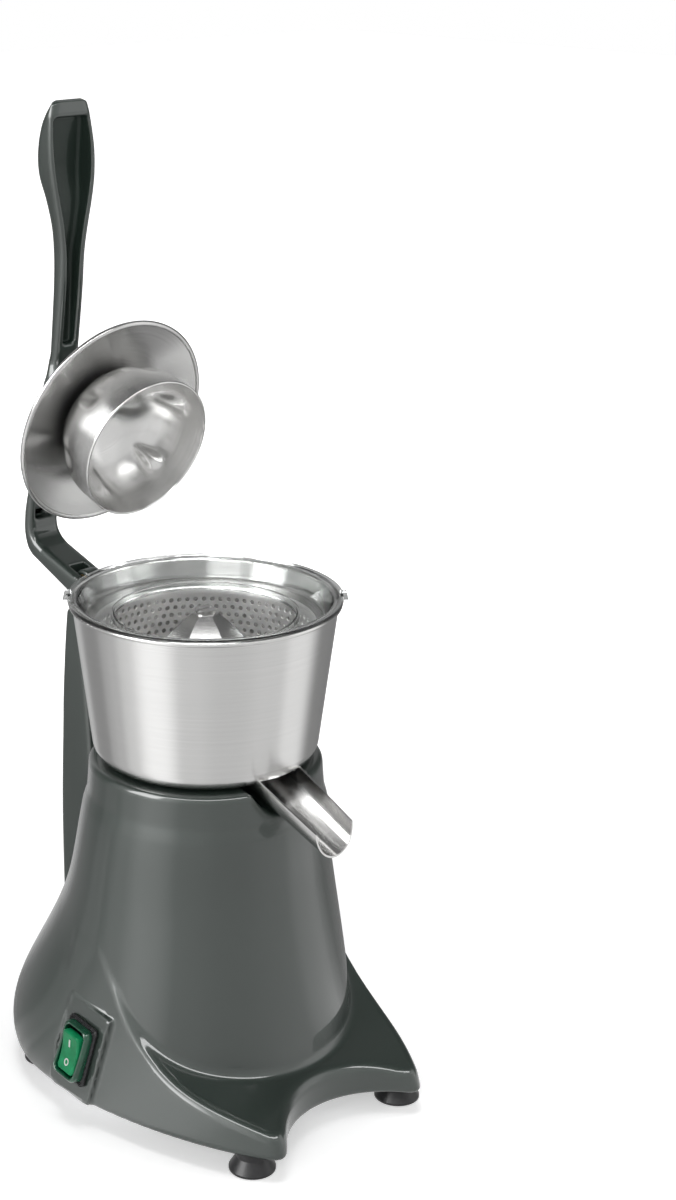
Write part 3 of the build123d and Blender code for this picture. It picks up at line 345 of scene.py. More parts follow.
# One net point in each cell that the surface crosses, at the mean of its crossings
def netPoints(value, inside):
    cells = tuple(n - 1 for n in value.shape)
    part = lambda corner: tuple(slice(o, o + n) for o, n in zip(corner, cells))
    total, crossings = np.zeros(cells + (3,)), np.zeros(cells)
    for a in np.ndindex(2, 2, 2):
        for axis in (i for i in range(3) if a[i] == 0):
            b = tuple(1 if i == axis else v for i, v in enumerate(a))
            first, second = value[part(a)], value[part(b)]
            hit = inside[part(a)] != inside[part(b)]
            share = np.where(hit, first / np.where(hit, first - second, 1), 0)
            for i in range(3):
                total[..., i] += np.where(hit, a[i] + (share if i == axis else 0), 0)
            crossings += hit
    active = crossings > 0
    number = np.full(cells, -1)
    number[active] = np.arange(active.sum())
    return np.argwhere(active) + total[active] / crossings[active][:, None], number


def netFaces(inside, number):
    faces = []
    for axis in range(3):
        first = tuple(slice(None, -1) if i == axis else slice(1, -1) for i in range(3))
        second = tuple(slice(1, None) if i == axis else slice(1, -1) for i in range(3))
        change = inside[first] != inside[second]
        start = inside[first][change]
        across, along = [i for i in range(3) if i != axis]
        around = []
        for a, b in ((0, 0), (1, 0), (1, 1), (0, 1)):
            pick = [slice(None)] * 3
            pick[across] = slice(a, a + inside.shape[across] - 2)
            pick[along] = slice(b, b + inside.shape[along] - 2)
            around.append(number[tuple(pick)][change])
        quads = np.stack(around, 1)
        turn = start if axis != 1 else ~start
        quads[~turn] = quads[~turn][:, ::-1]
        faces.append(quads)
    return np.concatenate(faces)


def pullOnto(points, field, step):
    pull = {"reach": 0.15, "rounds": 4, "flattest": 0.05}
    reach = pull["reach"]

    def slopeAt(p):
        ways = reach * np.eye(3)
        return np.stack([field(*(p + way).T) - field(*(p - way).T) for way in ways], 1) / (2 * reach)

    for _ in range(pull["rounds"]):
        slope = slopeAt(points)
        move = field(*points.T) / np.maximum((slope ** 2).sum(1), pull["flattest"])
        points = points - np.clip(move, -step, step)[:, None] * slope
    slope = slopeAt(points)
    return points, slope / np.linalg.norm(slope, axis=1)[:, None]


def netMesh(name, field, low, high, step):
    axes = [np.arange(a, b + step, step) for a, b in zip(low, high)]
    value = field(*np.meshgrid(*axes, indexing="ij"))
    inside = value < 0
    points, number = netPoints(value, inside)
    points, normals = pullOnto(points * step + np.array(low), field, step)
    mesh = bpy.data.meshes.new(name)
    mesh.from_pydata((points * mm).tolist(), [], netFaces(inside, number).tolist())
    mesh.shade_smooth()
    mesh.normals_split_custom_set_from_vertices(normals.tolist())
    return mesh


switchPad = {"place": jointPlaces["rocker_tilt"], "tilt": math.radians(13.5), "lean": math.radians(6.5),
             "rockerTip": math.radians(6)}


def padAxes():
    tilt, lean = switchPad["tilt"], switchPad["lean"]
    up = np.array([math.sin(tilt), 0, math.cos(tilt)])
    out = np.array([-math.cos(tilt), 0, math.sin(tilt)])
    along = np.array([-math.sin(lean) * up[0], -math.cos(lean), -math.sin(lean) * up[2]])
    return along, np.cross(out, along), out


def onPad(x, y, z):
    px, py, pz = (c - middle for c, middle in zip((x, y, z), switchPad["place"]))
    return [px * axis[0] + py * axis[1] + pz * axis[2] for axis in padAxes()]


def housingField():
    cast = {
        "bottom": 12.0, "top": 203.0, "wall": 5.5, "roof": 197.0, "neck": 25.05, "neckFrom": 190.0,
        "skirtTop": 178.0, "rearWall": 7.5, "rearRoof": 77.0, "ribHalf": 17.0, "ribFront": 83.0,
        "legRise": 80.0, "legInset": 20.0, "insetReach": (-0.2, 1.3), "legRear": 27.0, "legTip": -128.0,
        "tipRake": 0.25, "archRadius": 59.5, "archY": -159.0,
        "upright": 0.26, "uprightFrom": 0.45, "uprightY": 8.0, "uprightRun": 34.0,
        "padHalf": (18, 28, 8), "padCorner": 1.6, "faceHalf": (17.2, 27.2, 15), "faceCorner": 0.8,
        "windowHalf": (10, 14, 40), "windowDeep": 10.0, "windowCorner": 0.5,
        "spoutRadius": 23.0, "spoutDrop": 18.0, "spoutFall": math.radians(22), "spoutMouth": -70.0,
        "spoutRun": 36.0, "spoutWall": 4.0, "spoutEnd": 6.0,
        "slotHalf": 10.8, "slotFront": 90.0, "slotLow": 31.0, "slotHigh": 165.0,
        "glandX": 52.0, "glandZ": 36.0, "glandSeat": 14.0, "seatY": 99.5, "glandBore": 8.0, "boreY": 70.0,
    }
    # How softly faces meet
    edge = {"top": 5.0, "skirtTop": 6.0, "skirt": 7.0, "crest": 5.0, "legRear": 9.0, "legTip": 6.0,
            "arch": 6.0, "legRoot": 5.0, "pad": 2.0, "padFace": 1.6, "bottom": 3.0, "channelEnd": 10.0,
            "channel": 3.2, "neck": 0.5, "cave": 1.0, "slot": 1.2, "glandSeat": 0.8, "glandBore": 0.5,
            "window": 0.4}
    # Cosines of the leaning walls
    lean = {"core": 0.985, "skirt": 0.94, "flank": 0.95, "scoop": 0.9}
    # Radius of the body, radius and shift of the rear skirt by height
    body = curveOf([(12, 87.8), (36, 87.5), (53, 86.5), (76, 83.7), (96, 80.9), (122, 76.8), (158, 72.1),
                    (203, 68)], 4, (5, 206))
    skirtR = curveOf([(12, 98), (36, 99), (59, 91.5), (77, 84.7), (107, 77.4), (142, 73), (178, 69)],
                     4, (8, 178))
    skirtY = curveOf([(12, 27), (36, 27), (59, 26), (77, 22), (107, 14), (142, 6), (178, 0)], 4, (8, 178))
    # Half width and height of the legs from the rear to the front
    flank = curveOf([(27, 99), (0, 99.8), (-34, 95), (-61, 88), (-86, 80), (-108, 69), (-128, 57)],
                    4, (-140, 30))
    scoop = curveOf([(2, 101), (-23, 73), (-54, 47), (-82, 36), (-118, 27), (-150, 21)], 5, (-150, 2.5))

    def bodyField(x, y, z):
        core = (np.hypot(x, y) - body(z)) * lean["core"]
        core = softMax(core, z - cast["top"], edge["top"])
        rear = (np.hypot(x, y - skirtY(z)) - skirtR(z)) * lean["skirt"]
        rear = softMax(rear, z - cast["skirtTop"], edge["skirtTop"])
        return softMin(core, rear, edge["skirt"])

    def legField(x, y, z):
        share = (z - cast["bottom"]) / cast["legRise"]
        forward = np.clip((cast["uprightY"] - y) / cast["uprightRun"], 0, 1)
        upright = cast["upright"] * np.clip(share - cast["uprightFrom"], 0, 1) * forward
        inset = cast["legInset"] * np.clip(share - upright, *cast["insetReach"])
        legs = (abs(x) - flank(y) + inset) * lean["flank"]
        legs = softMax(legs, (z - scoop(y)) * lean["scoop"], edge["crest"])
        legs = softMax(legs, y - cast["legRear"], edge["legRear"])
        legs = softMax(legs, cast["legTip"] + cast["tipRake"] * (z - cast["bottom"]) - y, edge["legTip"])
        return softMax(legs, cast["archRadius"] - np.hypot(x, y - cast["archY"]), edge["arch"])

    # Distances from the spout channel's round wall and from its inner end
    def channelFields(x, y, z):
        radius, run = cast["spoutRadius"], cast["spoutRun"]
        sin, cos = math.sin(cast["spoutFall"]), math.cos(cast["spoutFall"])
        startY = cast["spoutMouth"] + run * cos - radius * sin
        startZ = cast["top"] - cast["spoutDrop"] + run * sin + radius * cos
        away = -(y - startY) * cos - (z - startZ) * sin
        lift = -(y - startY) * sin + (z - startZ) * cos
        return np.hypot(x, lift) - radius, -away

    # Hollow, open below
    def caveField(x, y, z, around, behind):
        reach = np.hypot(x, y)
        cave = np.maximum(reach - body(z) + cast["wall"], z - cast["roof"])
        cave = np.maximum(cave, -np.maximum(around - cast["spoutWall"], behind - cast["spoutEnd"]))
        rear = np.hypot(x, y - skirtY(z)) - skirtR(z) + cast["rearWall"]
        rear = np.maximum(rear, z - cast["rearRoof"])
        rear = np.maximum(rear, -np.maximum(abs(x) - cast["ribHalf"], cast["ribFront"] - y))
        neck = reach - cast["neck"] + np.maximum(0, cast["neckFrom"] - z)
        return softMin(np.minimum(cave, rear), neck, edge["neck"])

    def field(x, y, z):
        hull = softMin(bodyField(x, y, z), legField(x, y, z), edge["legRoot"])
        along, rise, out = onPad(x, y, z)
        pad = boxField(along, rise, out + cast["padHalf"][2], cast["padHalf"], cast["padCorner"])
        face = boxField(along, rise, out - cast["faceHalf"][2], cast["faceHalf"], cast["faceCorner"])
        hull = softMax(softMin(hull, pad, edge["pad"]), -face, edge["padFace"])
        hull = softMax(hull, cast["bottom"] - z, edge["bottom"])
        around, behind = channelFields(x, y, z)
        hull = softMax(hull, -caveField(x, y, z, around, behind), edge["cave"])
        hull = softMax(hull, -softMax(around, behind, edge["channelEnd"]), edge["channel"])
        slot = np.maximum(np.maximum(abs(x) - cast["slotHalf"], cast["slotFront"] - y),
                          np.maximum(cast["slotLow"] - z, z - cast["slotHigh"]))
        hull = softMax(hull, -slot, edge["slot"])
        gland = np.hypot(x - cast["glandX"], z - cast["glandZ"])
        hull = softMax(hull, -np.maximum(gland - cast["glandSeat"], cast["seatY"] - y), edge["glandSeat"])
        hull = softMax(hull, -np.maximum(gland - cast["glandBore"], cast["boreY"] - y), edge["glandBore"])
        window = boxField(along, rise, out + cast["windowDeep"], cast["windowHalf"], cast["windowCorner"])
        return softMax(hull, -window, edge["window"])

    return field


def fromHinge(points):
    return [(hingeY + y, hingeZ + z) for y, z in points]


def leverField():
    arm = {"round": 5.0, "boss": 13.0, "bossFrom": -52.0, "bossTo": -18.1, "bossRound": 1.0, "bossRoot": 6.0,
           "fork": 5.6, "forkEnd": 12.5, "forkReach": 40.0, "forkRound": 1.2, "pin": 4.02, "pinFrom": -9.0,
           "panelLow": 31.1, "panelHigh": 91.1, "panelHalf": 6.5, "panelDeep": 5.0, "panelRound": 3.0,
           "panelEdge": 2.0, "gripWall": 3.0, "gripFront": -46.0, "gripRound": 3.0, "gripRun": 2.0,
           "rawReach": 0.9, "rawFrom": 140.0, "rawSkin": 0.8, "rawFade": 1.5, "even": (-6, -3, 0, 3, 6)}
    # Side outline from the hinge: pairs of depth and height
    knee = (41.9, 44.1)
    instep = [(33.2, 15.7), (40.2, 19.9), (43.5, 27.1), knee]
    front = [(16, 139.1), (9.3, 184.1), (6.3, 229.1), (6.9, 259.1), (8.9, 285.1)]
    back = [(12.7, 286.1), (19.4, 274.1), (22.4, 259.1), (22.7, 244.1), (19.4, 229.1), (18.5, 214.1),
            (19.7, 199.1), (20.3, 184.1), (21.5, 169.1), (24.7, 139.1)]
    heel = [(50.7, 36.1), (51.5, 23.1), (48.7, 13.1), (43.7, 8.1)]
    foot = [(6.6, -7.4), (2.6, -9.7), (-1.5, -10.3), (-5.8, -8.2), (-9.1, -3.9), (-7.6, 2.7)]
    rounded = [point for line in (instep, front, back, heel) for point in smoothPath(line)]
    outline = outlineField(fromHinge(rounded + foot))
    # Half widths of the arm and of the grip's hollow: pairs of height and half width
    width = [(-30.9, 11.5), (49.1, 11.5), (89.1, 10), (139.1, 9), (199.1, 8.7), (214.1, 10.9), (229.1, 13.9),
             (244.1, 16.3), (259.1, 16.8), (274.1, 15.2), (282.1, 14.1), (289.1, 11.5)]
    inner = [(144.1, 3.8), (184.1, 4), (199.1, 4.5), (214.1, 6.5), (229.1, 9.8), (244.1, 12.6), (259.1, 13.3),
             (271.1, 12.6), (276.1, 11.5)]
    gripLow, gripHigh = inner[0][0], inner[-1][0]
    kept = [(y - arm["gripWall"], z) for y, z in back if gripLow <= z <= gripHigh]
    hollowSide = outlineField(fromHinge(
        [(arm["gripFront"], gripHigh), (kept[0][0], gripHigh)] + smoothPath(kept)
        + [(kept[-1][0] + arm["gripRun"], gripLow), (arm["gripFront"], gripLow)]))
    pressX, pressY, pressZ = (c / mm for c in pressCenter)

    def halfAt(table, up):
        return sum(np.interp(up + shift, *zip(*table)) for shift in arm["even"]) / len(arm["even"])

    def bossField(x, y, z):
        py, pz = y - pressY, z - pressZ
        ahead = py * pressAxis[1] + pz * pressAxis[2]
        off = np.sqrt((x - pressX) ** 2 + (py - ahead * pressAxis[1]) ** 2 + (pz - ahead * pressAxis[2]) ** 2)
        ends = np.maximum(ahead - arm["bossTo"], arm["bossFrom"] - ahead)
        return softMax(off - arm["boss"], ends, arm["bossRound"])

    # Sunk panel on the front, between knee and flange
    def panelField(x, y, up):
        shin = hingeY + knee[0] + (up - knee[1]) * (front[0][0] - knee[0]) / (front[0][1] - knee[1])
        panel = softMax(abs(x) - arm["panelHalf"], y - shin - arm["panelDeep"], arm["panelRound"])
        return softMax(panel, np.maximum(arm["panelLow"] - up, up - arm["panelHigh"]), arm["panelRound"])

    def field(x, y, z):
        up = z - hingeZ
        hull = softMax(outline(y, z), abs(x) - halfAt(width, up), arm["round"])
        hull = softMin(hull, bossField(x, y, z), arm["bossRoot"])
        hollow = softMax(hollowSide(y, z), abs(x) - halfAt(inner, up), arm["gripRound"])
        hull = softMax(hull, -hollow, arm["gripRound"])
        hull = softMax(hull, -panelField(x, y, up), arm["panelEdge"])
        slot = np.maximum(y - hingeY - arm["forkEnd"], abs(up) - arm["forkReach"])
        slot = np.maximum(abs(x) - arm["fork"], slot)
        hull = softMax(hull, -slot, arm["forkRound"])
        return np.maximum(hull, -np.maximum(np.hypot(y - hingeY, up) - arm["pin"], arm["pinFrom"] - x))

    # One in the grip's hollow, zero on the skin round it
    def raw(x, y, z):
        up = z - hingeZ
        depth = -np.maximum(hollowSide(y, z), abs(x) - halfAt(inner, up))
        skin = y - hingeY - np.interp(up, [p[1] for p in front], [p[0] for p in front])
        below = np.clip((skin - arm["rawSkin"]) / arm["rawFade"], 0, 1)
        return np.clip(depth + arm["rawReach"], 0, 1) * (up > arm["rawFrom"]) * below

    return field, raw


def markVertices(mesh, name, measure):
    points = np.array([v.co for v in mesh.vertices]) / mm
    values = mesh.attributes.new(name, "FLOAT", "POINT")
    values.data.foreach_set("value", measure(*points.T))


def columnField():
    post = {"half": 10.5, "round": 4.5, "tongue": 5.25, "tongueRound": 1.6, "tongueRoot": 2.0, "eye": 8.5,
            "eyeRoot": 0.5, "bush": 5.55, "top": 268.5, "topRun": 6.0, "foot": 31.0, "pad": 90.0,
            "padRise": -183.9, "ribRun": 8.0}
    back = fromHinge([(19.2, post["foot"] - hingeZ), (20.3, -215.9), (20.5, -148.9), (18, -92.9), (17, -71.9),
                      (14.2, -39.9), (11.7, -18.9)])
    front = fromHinge([(-4.5, -12.4), (-4.8, -35.9), (-9.6, -83.9), (-14.8, -160.9)])
    slab = outlineField(smoothPath(back) + [(back[-1][0] - post["topRun"], post["top"])] + smoothPath(front)
                        + [(post["pad"], hingeZ + post["padRise"]), (post["pad"], post["foot"])])
    ribLine = fromHinge([(-19, -153.9), (-13.8, -83.9), (-8.8, -22.9), (-post["eye"], 0)])
    ribEnd = (ribLine[0][0] + post["ribRun"], ribLine[0][1] - post["ribRun"])
    rib = outlineField([ribEnd] + smoothPath(ribLine) + fromHinge([(post["eye"], 0), (post["eye"], -15.4)]))

    def field(x, y, z):
        hull = softMax(slab(y, z), abs(x) - post["half"], post["round"])
        eye = np.hypot(y - hingeY, z - hingeZ)
        tongue = softMin(rib(y, z), eye - post["eye"], post["eyeRoot"])
        tongue = softMax(tongue, abs(x) - post["tongue"], post["tongueRound"])
        return np.maximum(softMin(hull, tongue, post["tongueRoot"]), post["bush"] - eye)

    return field


def filletPath(points, radii, steps=10):
    path = [points[0]]
    for before, corner, after, radius in zip(points, points[1:], points[2:], radii):
        a, b, c = Vector(before), Vector(corner), Vector(after)
        u, v = (a - b).normalized(), (c - b).normalized()
        half = u.angle(v) / 2
        middle = b + (u + v).normalized() * (radius / math.sin(half))
        start, end = (b + way * (radius / math.tan(half)) - middle for way in (u, v))
        for k in range(steps + 1):
            share = k / steps
            path.append(tuple(middle + (start * (1 - share) + end * share).normalized() * radius))
    return path + [points[-1]]


def evenPath(path, step):
    points = np.array(path, float)
    gone = np.concatenate([[0], np.cumsum(np.linalg.norm(np.diff(points, axis=0), axis=1))])
    at = np.linspace(0, gone[-1], max(2, int(gone[-1] / step)))
    return np.stack([np.interp(at, gone, points[:, i]) for i in (0, 1)], 1), at


# Sheet turned from a line; dent gives its push at a turn for each place on the line
def sheetMesh(name, path, sheet, frameOf, dent):
    thick, turns = sheet["wall"], sheet["turns"]
    line, gone = evenPath(path, sheet["step"])
    slope = np.gradient(line, axis=0)
    slope /= np.linalg.norm(slope, axis=1)[:, None]
    side = np.stack([-slope[:, 1], slope[:, 0]], 1)
    rim = line[-1] + slope[-1] * thick * sheet["rimCrown"] + side[-1] * thick / 2
    profile = np.concatenate([line, [rim], (line + side * thick)[::-1]])
    push = np.concatenate([side, [side[-1]], side[::-1]])
    where = np.concatenate([gone, [gone[-1]], gone[::-1]])
    count = len(profile)
    bm = bmesh.new()
    rings = []
    for j in range(turns):
        turn = 2 * math.pi * j / turns
        moved = profile + push * dent(turn, where)[:, None]
        rings.append([bm.verts.new([c * mm for c in frameOf(r, h, turn)]) for r, h in moved])
    for a, b in zip(rings, rings[1:] + rings[:1]):
        for i in range(count):
            n = (i + 1) % count
            bm.faces.new((a[i], b[i], b[n], a[n]))
    mesh = meshOf(name, bm)
    mesh.shade_smooth()
    return mesh


def onPress(r, h, turn):
    side = (1, 0, 0)
    rise = (0, math.sin(pressTurn), -math.cos(pressTurn))
    return [c / mm + h * w + r * (math.cos(turn) * s + math.sin(turn) * u)
            for c, w, s, u in zip(pressCenter, pressAxis, side, rise)]


def cupMesh():
    cup = {"radius": 43.2, "floor": -16.8, "reach": 32.0, "bore": 3.05, "wall": 1.2, "turns": 240,
           "step": 1.0, "rimCrown": 0.35, "flat": 0.28, "slant": (0.7, 8.0), "knee": (0.8, 25.0),
           "bends": (20, 30, 30), "dents": 6, "deep": 3.6, "long": 9.5, "half": 4.3,
           "shift": math.radians(12), "dentAt": 46.0, "dentRadius": 36.0, "flare": 0.35,
           "flareReach": (0.6, 1.4), "endPower": 2.6, "sidePower": 2.4}
    floor, radius = cup["floor"], cup["radius"]
    line = [(cup["bore"], floor), (cup["flat"] * radius, floor),
            (cup["slant"][0] * radius, floor + cup["slant"][1]),
            (radius - cup["knee"][0], floor + cup["knee"][1]), (radius, cup["reach"])]
    path = filletPath(line, cup["bends"])

    def dent(turn, gone):
        step = 2 * math.pi / cup["dents"]
        off = (turn - cup["shift"]) % step - step / 2
        along = (gone - cup["dentAt"]) / cup["long"]
        narrow = cup["half"] * np.clip(1.0 + cup["flare"] * along, *cup["flareReach"])
        across = off * cup["dentRadius"] / narrow
        return cup["deep"] * np.exp(-np.abs(along) ** cup["endPower"] - np.abs(across) ** cup["sidePower"])

    return sheetMesh("pressCup", path, cup, onPress, dent)


def sieveMesh():
    basket = {"radius": 63.6, "wall": 0.8, "low": 231.7, "height": 51.0, "columns": 80, "rows": 9,
              "hole": 1.5, "pitch": 4.6, "sides": 16, "floorHole": 33.0, "lip": 4.0, "lipWall": 1.6,
              "rimEase": (0.2, 0.3), "cornerIn": 0.8, "cornerOut": 1.2, "merge": 0.02,
              "sharp": math.radians(35)}
    outer, inner = basket["radius"], basket["radius"] - basket["wall"]
    pitch, sides, wall = basket["pitch"], basket["sides"], basket["wall"]
    step = 2 * math.pi / basket["columns"]
    first = basket["low"] + (basket["height"] - (basket["rows"] - 1) * pitch) / 2
    bm = bmesh.new()

    def at(radius, turn, z):
        return bm.verts.new((radius * math.cos(turn) * mm, radius * math.sin(turn) * mm, z * mm))

    low, high = first - pitch / 2, first + (basket["rows"] - 0.5) * pitch
    floor, top = basket["low"], basket["low"] + basket["height"]
    hole, lip, lipWall = basket["floorHole"], basket["lip"], basket["lipWall"]
    easeIn, easeDown = basket["rimEase"]
    cornerIn, cornerOut = basket["cornerIn"], basket["cornerOut"]
    rimBand = [(outer, high), (outer, top - easeDown), (outer - easeIn, top), (inner + easeIn, top),
               (inner, top - easeDown), (inner, high)]
    floorBand = [(inner, low), (inner, floor + wall + cornerIn), (inner - cornerIn, floor + wall),
                 (hole, floor + wall), (hole, floor - lip), (hole + lipWall, floor - lip),
                 (hole + lipWall, floor), (outer - cornerOut, floor), (outer, floor + cornerOut),
                 (outer, low)]
    for band in (rimBand, floorBand):
        line = [at(radius, 0, z) for radius, z in band]
        edges = [bm.edges.new(pair) for pair in zip(line, line[1:])]
        bmesh.ops.spin(bm, geom=line + edges, cent=(0, 0, 0), axis=(0, 0, 1), dvec=(0, 0, 0),
                       angle=2 * math.pi, steps=4 * basket["columns"], use_merge=True)

    # One coordinate of the points round a square, as many as the hole has sides
    def square(k):
        return max(-1.0, min(1.0, abs(k % sides - sides / 2) / (sides / 8) - 2))

    def holeCell(turn, z):
        rings = []
        for radius in (outer, inner):
            rings.append([at(radius, turn + square(k) * step / 2, z + square(k - sides // 4) * pitch / 2)
                          for k in range(sides)])
            spins = [2 * math.pi * k / sides for k in range(sides)]
            rings.append([at(radius, turn + basket["hole"] * math.cos(spin) / radius,
                             z + basket["hole"] * math.sin(spin)) for spin in spins])
        outerEdge, outerHole, innerEdge, innerHole = rings
        for a, b in ((outerEdge, outerHole), (innerHole, innerEdge), (outerHole, innerHole)):
            for k in range(sides):
                n = (k + 1) % sides
                bm.faces.new((a[k], a[n], b[n], b[k]))

    for row in range(basket["rows"]):
        for column in range(basket["columns"]):
            holeCell((column + 0.5 * (row % 2)) * step, first + row * pitch)
    bmesh.ops.remove_doubles(bm, verts=bm.verts, dist=basket["merge"] * mm)
    mesh = meshOf("sieve", bm)
    mesh.shade_smooth()
    mesh.set_sharp_from_angle(angle=basket["sharp"])
    return mesh


def tipped(v, w, turn):
    return v * math.cos(turn) - w * math.sin(turn), v * math.sin(turn) + w * math.cos(turn)


def bootLipField(u, v, w):
    lip = {"half": (11.0, 16.5), "corner": 4.5, "top": 7.4, "sag": 0.004, "sagAt": 6.0, "round": 4.0,
           "seat": 2.0, "well": (8.2, 14.2), "wellCorner": 3.2, "wellEdge": 1.8, "seatEdge": 0.3}
    crown = lip["top"] + lip["sag"] * (v - lip["sagAt"]) ** 2
    hull = softMax(frameField(u, v, lip["half"], lip["corner"]), w - crown, lip["round"])
    hull = softMax(hull, -frameField(u, v, lip["well"], lip["wellCorner"]), lip["wellEdge"])
    return softMax(hull, lip["seat"] - w, lip["seatEdge"])


bootCap = {"half": (7.4, 12.6), "corner": 2.8, "top": 7.1, "round": 1.6, "seat": 3.6, "seatEdge": 0.3,
           "dish": 1.6}


def capTop(v):
    return bootCap["top"] + bootCap["dish"] * (v / bootCap["half"][1]) ** 2


def bootCapField(u, v, w):
    v, w = tipped(v, w, -switchPad["rockerTip"])
    hull = softMax(frameField(u, v, bootCap["half"], bootCap["corner"]), w - capTop(v), bootCap["round"])
    return softMax(hull, bootCap["seat"] - w, bootCap["seatEdge"])


def bezelField(u, v, w):
    rim = {"half": (12.5, 18.5), "corner": 3.0, "thick": 1.6, "ridge": 0.35, "ridgePitch": 1.1, "round": 0.6,
           "backEdge": 0.4, "opening": (9.0, 13.0), "openingCorner": 1.0, "openingEdge": 0.5}
    outside = frameField(u, v, rim["half"], rim["corner"])
    ridge = rim["ridge"] * np.cos(2 * math.pi * outside / rim["ridgePitch"])
    bezel = softMax(outside, w - rim["thick"] - ridge, rim["round"])
    bezel = softMax(bezel, -w, rim["backEdge"])
    return softMax(bezel, -frameField(u, v, rim["opening"], rim["openingCorner"]), rim["openingEdge"])


# Raised signs on the boot's cap: a bar for on and a ring for off
def switchMarks():
    marks = {"barHalf": 0.55, "barTall": 2.4, "barAt": 6.0, "seam": 0.01, "ringOut": 2.3, "ringIn": 1.5,
             "ringAt": -6.2, "narrow": 0.8, "sides": 24, "lift": 0.02, "thick": 0.25, "merge": 0.001}
    middle, (along, rise, out) = np.array(switchPad["place"]), padAxes()

    def bar(half, tall):
        corners = ((-half, -tall), (half, -tall), (half, tall), (-half, tall))
        return [(u, marks["barAt"] + v) for u, v in corners]

    def ring(radius):
        wide, turns = radius * marks["narrow"], np.arange(marks["sides"]) * 2 * math.pi / marks["sides"]
        return [(wide * math.cos(turn), marks["ringAt"] + radius * math.sin(turn)) for turn in turns]

    def onCap(u, v, h):
        up, high = tipped(v, capTop(v) + marks["lift"] + h, switchPad["rockerTip"])
        return (middle + along * u + rise * up + out * high) * mm

    bm = bmesh.new()
    bars = (bar(marks["barHalf"], marks["barTall"]), bar(marks["seam"], marks["barTall"] - marks["barHalf"]))
    for outer, inner in (bars, (ring(marks["ringOut"]), ring(marks["ringIn"]))):
        loops = ((outer, 0.0), (outer, marks["thick"]), (inner, marks["thick"]), (inner, 0.0))
        rings = [[bm.verts.new(onCap(u, v, h)) for u, v in line] for line, h in loops]
        for a, b in zip(rings, rings[1:] + rings[:1]):
            for k in range(len(a)):
                n = (k + 1) % len(a)
                bm.faces.new((a[k], a[n], b[n], b[k]))
    bmesh.ops.remove_doubles(bm, verts=bm.verts, dist=marks["merge"] * mm)
    return meshOf("switchMarks", bm)


print("stage housing")
housingNet = {"low": (-108, -134, 9), "high": (108, 132, 207), "step": 2.0}
housingMesh = netMesh("housing", housingField(), **housingNet)
addPiece("housing", housingMesh, paint, "base", "base_housing")

print("stage lever and column")
leverNet = {"low": (-19, 92, 266), "high": (19, 162, 572), "step": 1.3}
columnNet = {"low": (-13, 82, 27), "high": (13, 132, 293), "step": 1.3}
leverShape, leverRaw = leverField()
leverMesh = netMesh("lever", leverShape, **leverNet)
markVertices(leverMesh, "raw", leverRaw)
addPiece("lever", leverMesh, leverPaint, "lever", "press_arm")
columnMesh = netMesh("columnPost", columnField(), **columnNet)
addPiece("columnPost", columnMesh, paint, "base", "column")

print("stage steel pieces")
addPiece("pressCup", cupMesh(), cupSteelPaintedLight, "lever", "press_cup")
addPiece("sieve", sieveMesh(), sieveSteel, "sieve", "sieve_basket")

print("stage switch")
padNet = {"low": (-110, -22, 18), "high": (-84, 28, 66), "step": 0.5}


def padMesh(name, field):
    return netMesh(name, lambda x, y, z: field(*onPad(x, y, z)), **padNet)


addPiece("bezel", padMesh("bezel", bezelField), blackPlastic, "base", "switch_bezel")
addPiece("switchBoot", padMesh("switchBoot", bootLipField), bootLip, "base", "switch_boot")
addPiece("bootCap", padMesh("bootCap", bootCapField), boot, "rocker", None)
addPiece("switchMarks", switchMarks(), whitePlastic, "rocker", None)

print("stage set")
studio = {
    "diffuse": 0.34, "front": 0.9, "onFloor": 0.62, "brightest": 2.0,
    "ceilingFrom": 0.58, "ceilingTo": 0.8, "ceiling": 0.16,
    # Upright panels: bearing, half widths of core and soft edge in degrees, brightness
    "panels": ((183, 8, 22, 1.85), (318, 9, 18, 1.4), (116, 18, 34, 0.22), (4, 16, 30, 0.15),
               (250, 10, 26, 0.86), (45, 20, 44, 0.36), (131, 4, 10, 2.6)),
    # Soft boxes, which end at a low and a high rise
    "boxes": ({"turn": 166, "wide": (14, 20), "low": (0.12, 0.22), "high": (0.74, 0.80), "level": 6.5},
              {"turn": 240, "wide": (52, 62), "low": (0.70, 0.73), "high": (0.80, 0.83), "level": 7.0}),
}


def levelWay(material, place):
    return vectorMath(material, "NORMALIZE", vectorMath(material, "MULTIPLY", place, (1, 1, 0)))


# From the first level past a bearing's soft edge to the second in its core
def bearingRamp(material, way, turn, inner, outer, levels):
    aim = (math.cos(math.radians(turn)), math.sin(math.radians(turn)), 0.0)
    facing = vectorMath(material, "DOT_PRODUCT", way, aim)
    return rampOf(material, facing, *levels, math.cos(math.radians(outer)), math.cos(math.radians(inner)))


def panelGlow(material, way, share):
    glow = None
    for turn, inner, outer, level in studio["panels"]:
        panel = bearingRamp(material, way, turn, inner, outer, (1.0, level))
        glow = joinValues(material, "MULTIPLY", glow, panel) if glow else panel
    top = studio["brightest"]
    return rampOf(material, glow, 0.0, top * studio["front"] * share, 0.0, top)


def boxGlow(material, way, rise):
    glow = None
    for box in studio["boxes"]:
        lit = bearingRamp(material, way, box["turn"], *box["wide"], (0.0, box["level"]))
        lit = joinValues(material, "MULTIPLY", lit, rampOf(material, rise, 0.0, 1.0, *box["low"]))
        lit = joinValues(material, "MULTIPLY", lit, rampOf(material, rise, 1.0, 0.0, *box["high"]))
        glow = joinValues(material, "ADD", glow, lit) if glow else lit
    return glow


